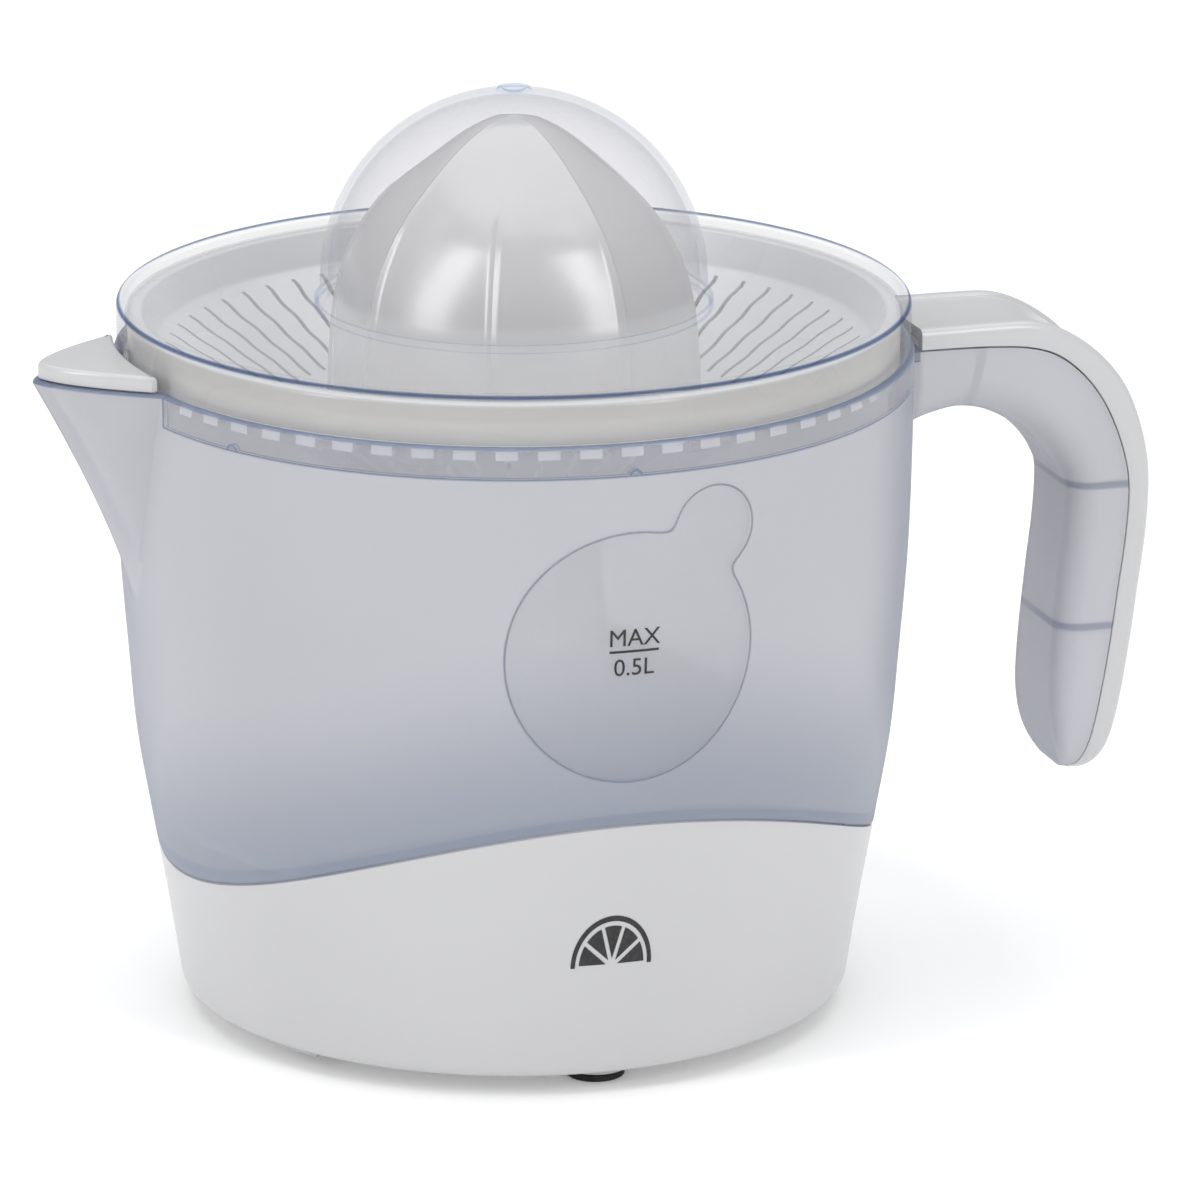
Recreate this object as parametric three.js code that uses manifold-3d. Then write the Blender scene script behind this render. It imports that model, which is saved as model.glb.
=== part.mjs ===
// Citrus press juicer: a 0.5 litre jug with a press-to-start reamer on a geared motor base.
// Millimetres, +Z up, Z = 0 on the table. +X is the handle side, -X the spout side, -Y the front.
// Everything is drawn about the vertical spindle axis; the whole assembly is then shifted along X so
// that the origin sits at the middle of its footprint.
import * as THREE from 'three';
import { mergeGeometries, mergeVertices } from 'three/addons/utils/BufferGeometryUtils.js';
import Module from 'manifold-3d';

const wasm = await Module();
wasm.setup();

// ---------------------------------------------------------------- driving dimensions
const SEGMENTS = 32;                 // facets round the large shells
const GAP = 0.3;                     // clearance between neighbouring pieces
const SPOUT_REACH = 93.7;            // spindle axis to spout tip
const HANDLE_REACH = 124.6;          // spindle axis to the back of the handle

const BASE_BOTTOM = 3.9;             // lower edge of the base housing
const RIM = 128.3;                   // top edge of the jug
const SEAM_HIGH = 55.1;              // jug/base seam at the front and back
const SEAM_LOW = 33.3;               // jug/base seam under the spout and the handle
const WALL = 2.4;                    // base wall
const JUG_WALL = 2.2;
const SPIGOT_INSET = 2.8;            // jug wall below the seam, set in from the outside
const LIP_HEIGHT = 2.4;              // thicker band of the jug just above the seam
const LIP_WALL = 5.0;                // jug wall below that band, measured from the outside
const CLEAR_BAND = 122.4;            // step inside the jug where the strainer skirt begins
const RIM_WALL = 1.8;                // jug wall above that step
const REST_COUNT = 6;                // bumps on that step that carry the strainer

const COLUMN_RADIUS = 16.8;          // tube in the middle of the jug
const COLUMN_BORE = 14.4;
const COLUMN_TOP = 108.3;
const COLUMN_LIP_TOP = 113;
const COLUMN_LIP_RADIUS = 8.8;
const SPINDLE_HOLE = 6.6;            // in the top of the column
const FLOOR_AT_COLUMN = 73.1;        // jug floor is a cone that falls away from the column
const FLOOR_SLOPE = 0.58;
const FLOOR_THICKNESS = 2.4;
const DECK_GAP = 0.8;                // jug underside to the deck of the base
const DECK_THICKNESS = 2.2;
const PILLAR_RADIUS = 12.4;          // tube of the base inside the jug column
const PILLAR_TOP = 102;
const PILLAR_BORE = 9;
const BUSH_SEAT = 5.6;

const LID_RADIUS = 75;
const LID_TOP = 138;
const LID_WALL = 1.6;
const DOME_RADIUS = 36.6;
const DOME_CENTRE = 140.6;
const DOME_WALL = 1.5;

const STRAINER_RADIUS = 72.9;
const STRAINER_TOP = 135.7;
const SKIRT_BOTTOM = 125.5;
const SLOT_COUNT = 60;
const [SLOT_FROM, SLOT_TO] = [46, 65.6];
const SLOT_HALF_WIDTH = 0.6;
const TOOTH_COUNT = 60;              // notches in the lower edge of the skirt
const TOOTH_HALF_WIDTH = 1.8;
const TOOTH_HEIGHT = 1.5;
const WELL_FLOOR = 112.8;            // ring-shaped well of the strainer, under the reamer
const WELL_UNDER = 110.8;
const HUB_TOP = 118.4;               // collar round the spindle in the middle of the well
const HUB_BORE = 9.8;

const REAMER_BOTTOM = 114.5;
const REAMER_TIP = 172.6;
const REAMER_RIBS = 8;
const LONG_RIB_ANGLE = 21;           // degrees from +X
const FLUTE_DEPTH = 0.085;           // share of the crest radius, low down between all the ribs
const UPPER_FLUTE_DEPTH = 0.16;      // near the tip, where only every second rib is left
const REAMER_HUB = 7.8;              // socket tube inside the cone

const SPOUT_ROOT = 84;               // height where the spout leaves the wall
const SPOUT_HALF_WIDTH = 18.4;
const SPOUT_THROW = SPOUT_REACH - 75.6;

const HANDLE_HALF_WIDTH = 13;
const HANDLE_TOP_HALF_WIDTH = 14.2;
const HANDLE_WALL = 2;
const COVER_SKIN = 2.2;              // handle cover wall
const COVER_RIM_WIDTH = 2.4;         // raised borders beside the groove on top of the handle cover
const COVER_GROOVE_FLOOR = 3.7;       // bottom of that groove, measured from the channel's edge
const SPOUT_COVER_THICKNESS = 3;
const LID_NOTCH_HALF_WIDTH = 13.5;   // in the dust cover's skirt, over the spout
const LID_NOTCH_HEIGHT = 4.2;

const SPINDLE_RADIUS = 4;
const SPINDLE_BOTTOM = 27.6;
const SPINDLE_TOP = 126;
const SPINDLE_FLAT = 3.1;            // half distance across the drive flats
const PRESS_TRAVEL = 2;              // pressing the reamer lowers the spindle this far

const CHASSIS_BOTTOM = 29.4;
const CHASSIS_TOP = 31.8;
const GEAR_MODULE = 1;
const OUTPUT_TEETH = 36;
const LARGE_TEETH = 30;
const PINION_TEETH = 9;

// Axes of the gear train in plan, set out from the spindle by the sums of the pitch radii.
const SPINDLE_AXIS = new THREE.Vector2(0, 0);
const ROTOR_AXIS = new THREE.Vector2(12, -29);
const FIRST_GEAR_AXIS = new THREE.Vector2(26.938, -16.466);
const SECOND_GEAR_AXIS = circleMeet(
  SPINDLE_AXIS, GEAR_MODULE * (OUTPUT_TEETH + PINION_TEETH) / 2,
  FIRST_GEAR_AXIS, GEAR_MODULE * (LARGE_TEETH + PINION_TEETH) / 2);
const CHASSIS_EARS = [[-22, 13], [40, 16], [4, -44]];
const FOOT_ANGLES = [-90, 30, 150];
const LUG_ANGLES = [-150, -30, 90];
const FOOT_CIRCLE = 52;
const BOSS_CIRCLE = 54;
const CORD_HEIGHT = 14;               // cord outlet in the back of the base
const PLATE_BOTTOM = 4.2;             // underside plate of the base
const PLATE_TOP = 6.6;
const PLATE_RADIUS = 61;
const VENT_COUNT = 9;                // radial slots through the plate
const VENT_FROM = 26;
const VENT_TO = 38;
const VENT_HALF_WIDTH = 2.5;
const FOOT_RADIUS = 5.6;
const FOOT_STEM_RADIUS = 2.6;
const FOOT_HEIGHT = 1.4;              // rubber showing under the seat of each foot

// Outside of jug and base as one swept line, [height, radius].
const WALL_PROFILE = [
  [BASE_BOTTOM, 63.9], [22, 66.7], [38, 69.5], [54, 72.1], [70, 73.5], [90, 74.95], [110, 75.5], [RIM, 75.6],
];
const wallLine = new THREE.SplineCurve(WALL_PROFILE.map(([z, r]) => new THREE.Vector2(z, r))).getPoints(60);

function wallRadius(z) {
  const next = wallLine.findIndex((p) => p.x >= z);
  if (next < 1) return wallLine[next < 0 ? wallLine.length - 1 : 0].y;
  const [a, b] = [wallLine[next - 1], wallLine[next]];
  return THREE.MathUtils.mapLinear(z, a.x, b.x, a.y, b.y);
}

// The point left of the line from a to b that is ra from a and rb from b.
function circleMeet(a, ra, b, rb) {
  const span = b.clone().sub(a);
  const d = span.length();
  const along = (ra * ra - rb * rb + d * d) / (2 * d);
  const across = Math.sqrt(ra * ra - along * along);
  const u = span.divideScalar(d);
  return new THREE.Vector2(a.x + u.x * along - u.y * across, a.y + u.y * along + u.x * across);
}

const radians = THREE.MathUtils.degToRad;
const polar = (r, degrees) => [r * Math.cos(radians(degrees)), r * Math.sin(radians(degrees))];
const range = (n) => Array.from({ length: n }, (_, i) => i);
const lerp = THREE.MathUtils.lerp;

// ---------------------------------------------------------------- solids
// Any closed geometry becomes a manifold solid; one drawn inside out is turned the right way round.
function solid(geometry) {
  const bare = geometry.clone();
  for (const name of Object.keys(bare.attributes)) {
    if (name !== 'position') bare.deleteAttribute(name);
  }
  const merged = mergeVertices(bare, 1e-4);
  const points = merged.attributes.position.array;
  const index = merged.index.array;
  const at = (i) => new THREE.Vector3().fromArray(points, 3 * i);
  const triangles = [];
  let volume = 0;
  for (let i = 0; i < index.length; i += 3) {
    const [a, b, c] = [index[i], index[i + 1], index[i + 2]];
    if (a === b || b === c || c === a) continue;
    triangles.push([a, b, c]);
    volume += at(a).dot(at(b).cross(at(c)));
  }
  const turned = volume < 0 ? triangles.map(([a, b, c]) => [a, c, b]) : triangles;
  return new wasm.Manifold(new wasm.Mesh({
    numProp: 3,
    vertProperties: new Float32Array(points),
    triVerts: new Uint32Array(turned.flat()),
  }));
}

function geometryOf(manifold) {
  const mesh = manifold.getMesh();
  const geometry = new THREE.BufferGeometry();
  geometry.setAttribute('position', new THREE.BufferAttribute(new Float32Array(mesh.vertProperties), 3));
  geometry.setIndex(new THREE.BufferAttribute(new Uint32Array(mesh.triVerts), 1));
  geometry.computeVertexNormals();
  return geometry;
}

// A body of revolution about Z from [radius, height] pairs, closed on itself or on the axis.
function turned(profile, segments = SEGMENTS) {
  const onAxis = profile[0][0] === 0 && profile[profile.length - 1][0] === 0;
  const points = (onAxis ? profile : [...profile, profile[0]]).map(([r, z]) => new THREE.Vector2(r, z));
  return solid(new THREE.LatheGeometry(points, segments).rotateX(Math.PI / 2));
}

function disc(radius, bottom, top, segments = 16) {
  return turned([[0, bottom], [radius, bottom], [radius, top], [0, top]], segments);
}

function tube(inner, outer, bottom, top, segments = 16) {
  return turned([[inner, bottom], [outer, bottom], [outer, top], [inner, top]], segments);
}

function outline(points) {
  return new THREE.Shape(points.map(([x, y]) => new THREE.Vector2(x, y)));
}

// An outline in plan, between two heights.
function slab(shape, bottom, top) {
  const geometry = new THREE.ExtrudeGeometry(shape, { depth: top - bottom, bevelEnabled: false });
  return solid(geometry.translate(0, 0, bottom));
}

// An outline in the XZ plane, carried from -halfWidth to +halfWidth along Y.
function sideSlab(points, halfWidth) {
  const geometry = new THREE.ExtrudeGeometry(outline(points), { depth: 2 * halfWidth, bevelEnabled: false });
  return solid(geometry.rotateX(Math.PI / 2).translate(0, halfWidth, 0));
}

function box(x0, x1, y0, y1, z0, z1) {
  const geometry = new THREE.BoxGeometry(x1 - x0, y1 - y0, z1 - z0);
  return geometry.translate((x0 + x1) / 2, (y0 + y1) / 2, (z0 + z1) / 2);
}

// A skin through equal rings of points, with both ends closed.
function loft(rings) {
  const n = rings[0].length;
  const index = [];
  for (let i = 0; i + 1 < rings.length; i += 1) {
    for (let j = 0; j < n; j += 1) {
      const [a, b] = [i * n + j, i * n + (j + 1) % n];
      index.push(a, b, b + n, a, b + n, a + n);
    }
  }
  const cap = (ring, start, flip) => {
    const flat = flatten(ring);
    for (const [a, b, c] of THREE.ShapeUtils.triangulateShape(flat, [])) {
      index.push(start + a, start + (flip ? b : c), start + (flip ? c : b));
    }
  };
  cap(rings[0], 0, false);
  cap(rings[rings.length - 1], (rings.length - 1) * n, true);
  const geometry = new THREE.BufferGeometry();
  geometry.setAttribute('position', new THREE.Float32BufferAttribute(rings.flat(2), 3));
  geometry.setIndex(index);
  return solid(geometry);
}

// A planar ring of 3-D points in two coordinates of its own plane, keeping its sense of turn.
function flatten(ring) {
  const points = ring.map((p) => new THREE.Vector3(...p));
  const normal = new THREE.Vector3();
  points.forEach((p, i) => {
    const q = points[(i + 1) % points.length];
    normal.add(new THREE.Vector3().crossVectors(p, q));
  });
  normal.normalize();
  const u = new THREE.Vector3().crossVectors(Math.abs(normal.y) < 0.9
    ? new THREE.Vector3(0, 1, 0) : new THREE.Vector3(1, 0, 0), normal).normalize();
  const v = new THREE.Vector3().crossVectors(normal, u);
  return points.map((p) => new THREE.Vector2(p.dot(u), p.dot(v)));
}

const at = (piece, [x, y]) => piece.translate([x, y, 0]);
const joinAll = (pieces) => pieces.reduce((sum, piece) => sum.add(piece));

// ---------------------------------------------------------------- shared shapes
const wallPoints = (from, to, steps, inset = 0) => range(steps + 1).map((i) => {
  const z = lerp(from, to, i / steps);
  return [wallRadius(z) - inset, z];
});

const floorTop = (r) => FLOOR_AT_COLUMN - FLOOR_SLOPE * (r - COLUMN_RADIUS);
const floorUnder = (r) => floorTop(r) - FLOOR_THICKNESS;
const deckTop = (r) => floorUnder(r) - DECK_GAP;
const deckUnder = (r) => deckTop(r) - DECK_THICKNESS;

// Everything below (or above) the wave-shaped seam, moved by a height.
function seamSide(sign, lift) {
  const reach = 90;
  const seam = range(15).map((i) => {
    const x = lerp(-reach, reach, i / 14);
    return [x, SEAM_HIGH - (SEAM_HIGH - SEAM_LOW) * (x / wallRadius(SEAM_LOW)) ** 2 + lift];
  });
  const far = sign * 120 + 40;
  const sides = [[reach, far], [-reach, far]];
  return sideSlab([...seam, ...sides], reach);
}

// The solid of revolution inside the shell wall, set in from its outer face.
function wallCore(inset) {
  const [below, low, high, above] = [-10, 25, 61, 200];
  return turned([
    [0, below], [wallRadius(BASE_BOTTOM) - inset, below], ...wallPoints(low, high, 3, inset),
    [wallRadius(high) - inset, above], [0, above],
  ]);
}

// Cross-section of the spout at one height: a pointed arch that grows out of the wall.
function spoutRing(z, inset) {
  const t = THREE.MathUtils.clamp((z - SPOUT_ROOT) / (RIM - SPOUT_ROOT), 0.001, 1.1);
  const reach = SPOUT_THROW * t ** 1.35 - 1.3 * inset;
  const half = SPOUT_HALF_WIDTH * t ** 0.8 - inset;
  const wall = wallRadius(Math.min(z, RIM)) - inset;
  const front = [-1, -0.7, -0.4, -0.15, 0, 0.15, 0.4, 0.7, 1].map((s) => {
    const y = Math.max(half, 0.05) * s;
    return [-(Math.sqrt(wall * wall - y * y) + Math.max(reach, 0.01) * (1 - Math.abs(s) ** 1.5)), y, z];
  });
  const back = wall - 6;
  return [...front, [-back, front[front.length - 1][1], z], [-back, front[0][1], z]];
}

function spoutSolid(bottom, top, inset) {
  return loft(range(7).map((i) => spoutRing(lerp(bottom, top, i / 6), inset)));
}

// The handle in side view: the seam between channel and cover strip, the finger side of the channel,
// and the outer face of the cover, each [u, z], from the jug to the free end.
const HANDLE_STATIONS = [
  { seam: [73.6, 124.1], finger: [73.6, 107.0], outer: [73.6, 128.4] },
  { seam: [78.2, 124.1], finger: [78.2, 109.7], outer: [78.2, 128.4] },
  { seam: [85.0, 124.0], finger: [84.6, 111.4], outer: [85.0, 128.4] },
  { seam: [92.2, 123.7], finger: [89.8, 110.9], outer: [92.6, 128.4] },
  { seam: [99.4, 122.9], finger: [94.6, 108.9], outer: [100.4, 128.0] },
  { seam: [105.0, 120.9], finger: [98.6, 106.4], outer: [107.0, 125.5] },
  { seam: [110.2, 116.7], finger: [102.0, 103.6], outer: [113.4, 121.0] },
  { seam: [114.6, 110.8], finger: [104.9, 100.6], outer: [118.8, 114.7] },
  { seam: [118.1, 102.9], finger: [107.2, 97.2], outer: [122.4, 106.6] },
  { seam: [119.9, 94.6], finger: [108.6, 93.2], outer: [124.4, 97.0] },
  { seam: [119.5, 84.7], finger: [108.3, 84.0], outer: [124.2, 85.6] },
  { seam: [118.0, 73.0], finger: [107.1, 72.6], outer: [122.7, 73.2] },
  { seam: [116.4, 60.8], finger: [106.1, 61.0], outer: [121.0, 60.4] },
  { seam: [114.7, 50.9], finger: [105.8, 51.4], outer: [119.2, 49.8] },
  { seam: [113.2, 43.4], finger: [106.5, 44.4], outer: [117.2, 42.0] },
  { seam: [111.9, 38.7], finger: [107.9, 39.5], outer: [114.8, 37.7] },
  { seam: [110.7, 35.9], finger: [109.5, 36.1], outer: [112.0, 35.5] },
];

const blendPoint = (a, b, t) => [lerp(a[0], b[0], t), lerp(a[1], b[1], t)];

// The last stations narrow along a quarter ellipse, so the tip is round seen from the finger side.
const TIP_START = 13, TIP_LENGTH = 3.3;
const tipNarrowing = (place) => Math.sqrt(1 - (Math.max(place - TIP_START, 0) / TIP_LENGTH) ** 2);

// Station at a fractional place along the handle.
function handleStation(place) {
  const i = Math.min(Math.floor(place), HANDLE_STATIONS.length - 2);
  const [a, b, t] = [HANDLE_STATIONS[i], HANDLE_STATIONS[i + 1], place - i];
  return {
    seam: blendPoint(a.seam, b.seam, t),
    finger: blendPoint(a.finger, b.finger, t),
    outer: blendPoint(a.outer, b.outer, t),
    half: lerp(HANDLE_TOP_HALF_WIDTH, HANDLE_HALF_WIDTH, Math.min(place / 8, 1)) * tipNarrowing(place),
  };
}

// A ring with square corners at "from" and rounded corners at "to".
function handleRing(from, to, half, start, end, corner) {
  const depth = Math.hypot(to[0] - from[0], to[1] - from[1]);
  const n = [(to[0] - from[0]) / depth, (to[1] - from[1]) / depth];
  const stop = depth - end;
  const round = Math.max(Math.min(corner, 0.8 * (stop - start)), 0.05);
  const arc = range(3).map((i) => radians(45 * i));
  const side = [
    [-half, start],
    ...arc.map((a) => [-half + round * (1 - Math.cos(a)), stop - round * (1 - Math.sin(a))]),
    ...arc.toReversed().map((a) => [half - round * (1 - Math.cos(a)), stop - round * (1 - Math.sin(a))]),
    [half, start],
  ];
  return side.map(([y, s]) => [from[0] + n[0] * s, y, from[1] + n[1] * s]);
}

function placesBetween(from, to) {
  const inner = range(HANDLE_STATIONS.length).filter((i) => i > from + 0.05 && i < to - 0.05);
  return [from, ...inner, to];
}

const CHANNEL_CORNER = 8;
const HANDLE_CELLS = [[0.9, 2.5], [2.8, 8.9], [9.1, 11.5], [11.7, 15]];   // hollows between the cross webs
const channelSolid = () => loft(placesBetween(0, 16).map((place) => {
  const { seam, finger, half } = handleStation(place);
  return handleRing(seam, finger, half, 0, 0, CHANNEL_CORNER);
}));
const channelHollow = (from, to) => loft(placesBetween(from, to).map((place) => {
  const { seam, finger, half } = handleStation(place);
  return handleRing(seam, finger, half - HANDLE_WALL, -3, HANDLE_WALL, CHANNEL_CORNER - HANDLE_WALL);
}));

// Trapezoid-toothed spur gear outline; "phase" is the angle of one tooth's middle, in degrees.
function gearOutline(teeth, phase) {
  const pitch = GEAR_MODULE * teeth / 2;
  const [tip, root] = [pitch + 0.8 * GEAR_MODULE, pitch - 1.15 * GEAR_MODULE];
  const step = 360 / teeth;
  const points = range(teeth).flatMap((i) => {
    const middle = phase + i * step;
    return [[root, -0.33], [tip, -0.13], [tip, 0.13], [root, 0.33]]
      .map(([r, part]) => polar(r, middle + part * step));
  });
  return outline(points);
}

const circlePath = (x, y, r, n = 16) => {
  const path = new THREE.Path();
  range(n + 1).forEach((i) => {
    const [px, py] = polar(r, -360 * i / n);
    if (i === 0) path.moveTo(x + px, y + py);
    else path.lineTo(x + px, y + py);
  });
  return path;
};

function gear(teeth, phase, bore, bottom, top) {
  const shape = gearOutline(teeth, phase);
  shape.holes.push(circlePath(0, 0, bore, 12));
  return slab(shape, bottom, top);
}

// Phase that puts a gap of the second gear against a tooth of the first.
function meshingPhase(first, firstPhase, from, second, to) {
  const direction = THREE.MathUtils.radToDeg(Math.atan2(to.y - from.y, to.x - from.x));
  const offset = (firstPhase - direction) / (360 / first);
  return direction + 180 + (360 / second) * (0.5 - offset);
}

// ---------------------------------------------------------------- jug and its fittings
function jugBody() {
  const block = turned([
    [0, 31], ...wallPoints(31, RIM - 0.6, 5), [wallRadius(RIM) - 0.5, RIM], [0, RIM],
  ]);
  const body = block
    .add(spoutSolid(SPOUT_ROOT, RIM, 0))
    .add(channelSolid());
  const seamFloor = (inset) => floorTop(wallRadius(46) - inset);
  const lowCavity = turned([
    [0, RIM + 5], [0, COLUMN_LIP_TOP], [COLUMN_LIP_RADIUS, COLUMN_LIP_TOP], [COLUMN_LIP_RADIUS, COLUMN_TOP],
    [COLUMN_RADIUS - 0.5, COLUMN_TOP], [COLUMN_RADIUS, FLOOR_AT_COLUMN + 4],
    [COLUMN_RADIUS + 1.6, FLOOR_AT_COLUMN],
    [wallRadius(46) - LIP_WALL, seamFloor(LIP_WALL)],
    [wallRadius(60) - LIP_WALL, 60], [wallRadius(RIM) - LIP_WALL, RIM + 5],
  ]);
  const wallCavity = turned([
    [30, 60], [30, RIM + 5],
    [wallRadius(RIM) - RIM_WALL, RIM + 5], [wallRadius(RIM) - RIM_WALL, CLEAR_BAND],
    ...wallPoints(38, CLEAR_BAND, 4, JUG_WALL).toReversed(),
    [60, 38], [60, 60],
  ]);
  const aboveFloor = turned([
    [20, floorTop(20)], [80, floorTop(80)], [80, RIM + 9], [20, RIM + 9],
  ]);
  const cavity = lowCavity.add(wallCavity.intersect(seamSide(1, LIP_HEIGHT)).intersect(aboveFloor));
  const belowSeam = seamSide(-1, 0).subtract(wallCore(SPIGOT_INSET));
  const boreTop = COLUMN_TOP - FLOOR_THICKNESS;
  const underFloor = turned([
    [0, -9], [90, -9], [90, floorUnder(90)], [COLUMN_BORE, floorUnder(COLUMN_BORE)],
    [COLUMN_BORE, boreTop], [SPINDLE_HOLE, boreTop], [SPINDLE_HOLE, RIM], [0, RIM],
  ]).intersect(wallCore(SPIGOT_INSET - 0.02));
  const spoutWay = spoutSolid(SPOUT_ROOT + 6, RIM + 5, JUG_WALL);
  const restHalf = 2.2;
  const rests = range(REST_COUNT).map((i) => (
    box(71.2, 74, -restHalf, restHalf, CLEAR_BAND - 1, SKIRT_BOTTOM - GAP)
      .rotateZ(radians(360 * (i + 0.5) / REST_COUNT))));
  const hollows = HANDLE_CELLS.map(([from, to]) => channelHollow(from, to));
  return body
    .subtract(cavity)
    .subtract(belowSeam)
    .subtract(underFloor)
    .subtract(spoutWay)
    .subtract(joinAll(hollows))
    .add(solid(mergeGeometries(rests)));
}

function handleCover() {
  const skin = loft(placesBetween(0.75, 16).map((place) => {
    const { seam, outer, half } = handleStation(place);
    return handleRing(seam, outer, half, GAP, 0, 1.2);
  }));
  const hollow = loft(placesBetween(1.2, 15).map((place) => {
    const { seam, outer, half } = handleStation(place);
    return handleRing(seam, outer, half - COVER_SKIN, -1, 2, 0.6);
  }));
  const groove = loft(placesBetween(0.6, 7).map((place) => {
    const { seam, outer, half } = handleStation(place);
    return handleRing(outer, seam, half - COVER_RIM_WIDTH, -1, COVER_GROOVE_FLOOR, 0.3);
  }));
  const rimClearance = disc(wallRadius(RIM) + 0.9, 100, 140, SEGMENTS);
  return skin.subtract(hollow).subtract(groove).subtract(rimClearance);
}

function spoutCover() {
  const inner = wallRadius(RIM) + 0.1;
  const top = RIM + GAP + SPOUT_COVER_THICKNESS;
  const plateOutline = (inset) => {
    const front = spoutRing(RIM, inset).slice(0, 9).map(([x, y]) => [x, y]);
    return slab(outline([...front, [-60, front[8][1]], [-60, front[0][1]]]), RIM - 6, RIM + 6);
  };
  const plate = plateOutline(1.5).intersect(solid(box(-100, -40, -40, 40, RIM + GAP, top)));
  const keep = plateOutline(3).subtract(plateOutline(4.6));
  const rib = keep.intersect(solid(box(-100, -79, -7, 7, RIM - 2.4, RIM + 1)));
  const notch = solid(box(-79.5, -70, 11.2, 20, RIM, RIM + 9));
  return plate.add(rib).subtract(disc(inner, RIM - 9, RIM + 9, SEGMENTS)).subtract(notch);
}

// ---------------------------------------------------------------- cover, strainer, reamer
function dustCover() {
  const skirtBottom = RIM + GAP;
  const dome = (radius, steps, first, last) => range(steps + 1).map((i) => {
    const a = radians(lerp(first, last, i / steps));
    return [radius * Math.cos(a), DOME_CENTRE + radius * Math.sin(a)];
  });
  const shell = turned([
    [LID_RADIUS - LID_WALL, skirtBottom], [LID_RADIUS, skirtBottom],
    [LID_RADIUS, LID_TOP - 1.2], [LID_RADIUS - 0.4, LID_TOP - 0.3], [LID_RADIUS - 1.4, LID_TOP],
    [LID_RADIUS - 3, LID_TOP - 0.4],
    [DOME_RADIUS + 1.6, LID_TOP - 0.4], [DOME_RADIUS + 0.3, LID_TOP + 0.4],
    ...dome(DOME_RADIUS, 6, 0, 85),
    [3.2, DOME_CENTRE + DOME_RADIUS + 0.7], [2.2, DOME_CENTRE + DOME_RADIUS + 0.7],
    [1.6, DOME_CENTRE + DOME_RADIUS - 0.1], [0, DOME_CENTRE + DOME_RADIUS - 0.1],
    [0, DOME_CENTRE + DOME_RADIUS - DOME_WALL],
    ...dome(DOME_RADIUS - DOME_WALL, 5, 78, 0),
    [DOME_RADIUS - DOME_WALL, LID_TOP - 2], [LID_RADIUS - LID_WALL, LID_TOP - 2],
  ]);
  const spoutNotch = solid(
    box(-80, -60, -LID_NOTCH_HALF_WIDTH, LID_NOTCH_HALF_WIDTH, RIM - 1, RIM + LID_NOTCH_HEIGHT));
  return shell.subtract(spoutNotch);
}

function strainer() {
  const body = turned([
    [STRAINER_RADIUS, SKIRT_BOTTOM], [STRAINER_RADIUS, STRAINER_TOP - 0.8],
    [STRAINER_RADIUS - 0.7, STRAINER_TOP], [70.2, STRAINER_TOP], [67.8, 129.6],
    [44, 114.9], [38.6, WELL_FLOOR], [24, WELL_FLOOR], [12.4, HUB_TOP], [HUB_BORE, HUB_TOP],
    [HUB_BORE, WELL_UNDER], [39.2, WELL_UNDER], [45, 113], [71.3, 129.1], [71.3, SKIRT_BOTTOM],
  ], SLOT_COUNT);
  const slot = box(SLOT_FROM, SLOT_TO, -SLOT_HALF_WIDTH, SLOT_HALF_WIDTH, 108, 134);
  const notch = box(
    70, 75, -TOOTH_HALF_WIDTH, TOOTH_HALF_WIDTH, SKIRT_BOTTOM - 1, SKIRT_BOTTOM + TOOTH_HEIGHT);
  const around = (geometry, count) => range(count).map((i) => (
    geometry.clone().rotateZ(radians((i + 0.5) * 360 / count))));
  const slots = around(slot, SLOT_COUNT);
  const notches = around(notch, TOOTH_COUNT);
  return body.subtract(solid(mergeGeometries([...slots, ...notches])));
}

// Height and crest radius up the ribs of the reamer.
const reamerCrest = new THREE.SplineCurve([
  [REAMER_BOTTOM, 35.6], [127, 35.2], [138.5, 33.6], [147.5, 29.8], [156.5, 23.4], [166, 13.6], [171, 6],
  [REAMER_TIP, 0.6],
].map(([z, r]) => new THREE.Vector2(z, r)));

function reamer() {
  const around = 4 * REAMER_RIBS;
  const rows = reamerCrest.getPoints(8);
  const ribStep = 360 / REAMER_RIBS;
  const ring = ({ x: z, y: crest }) => range(around).map((i) => {
    const degrees = 360 * i / around;
    const turn = THREE.MathUtils.euclideanModulo(degrees / ribStep, 2);
    const nearLong = Math.min(turn, 2 - turn);
    const nearAny = Math.min(nearLong, Math.abs(1 - turn));
    const upper = THREE.MathUtils.smoothstep(z, 150, 164);
    const scoopLow = 1 - (1 - 2 * nearAny) ** 2;
    const scoopHigh = 1 - (1 - nearLong) ** 2;
    const scoop = lerp(scoopLow * FLUTE_DEPTH, scoopHigh * UPPER_FLUTE_DEPTH, upper);
    const [x, y] = polar(crest * (1 - scoop), degrees + LONG_RIB_ANGLE);
    return [x, y, z];
  });
  const outside = loft(rows.map(ring));
  const hollow = turned([
    [REAMER_HUB, REAMER_BOTTOM - 2], [32, REAMER_BOTTOM - 2], [31.4, 128], [29.6, 138], [25.4, 147],
    [18, 156], [REAMER_HUB, 161],
  ], 24);
  const socketFoot = disc(9, REAMER_BOTTOM - 2, 116, 16);
  const drive = disc(SPINDLE_RADIUS + 0.5, REAMER_BOTTOM, SPINDLE_TOP + GAP, 16)
    .intersect(solid(box(-9, 9, -SPINDLE_FLAT - 0.4, SPINDLE_FLAT + 0.4, 100, 140)));
  return outside.subtract(hollow).subtract(socketFoot).subtract(drive);
}

// ---------------------------------------------------------------- base
const bossPlaces = LUG_ANGLES.map((degrees) => polar(BOSS_CIRCLE, degrees));

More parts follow.
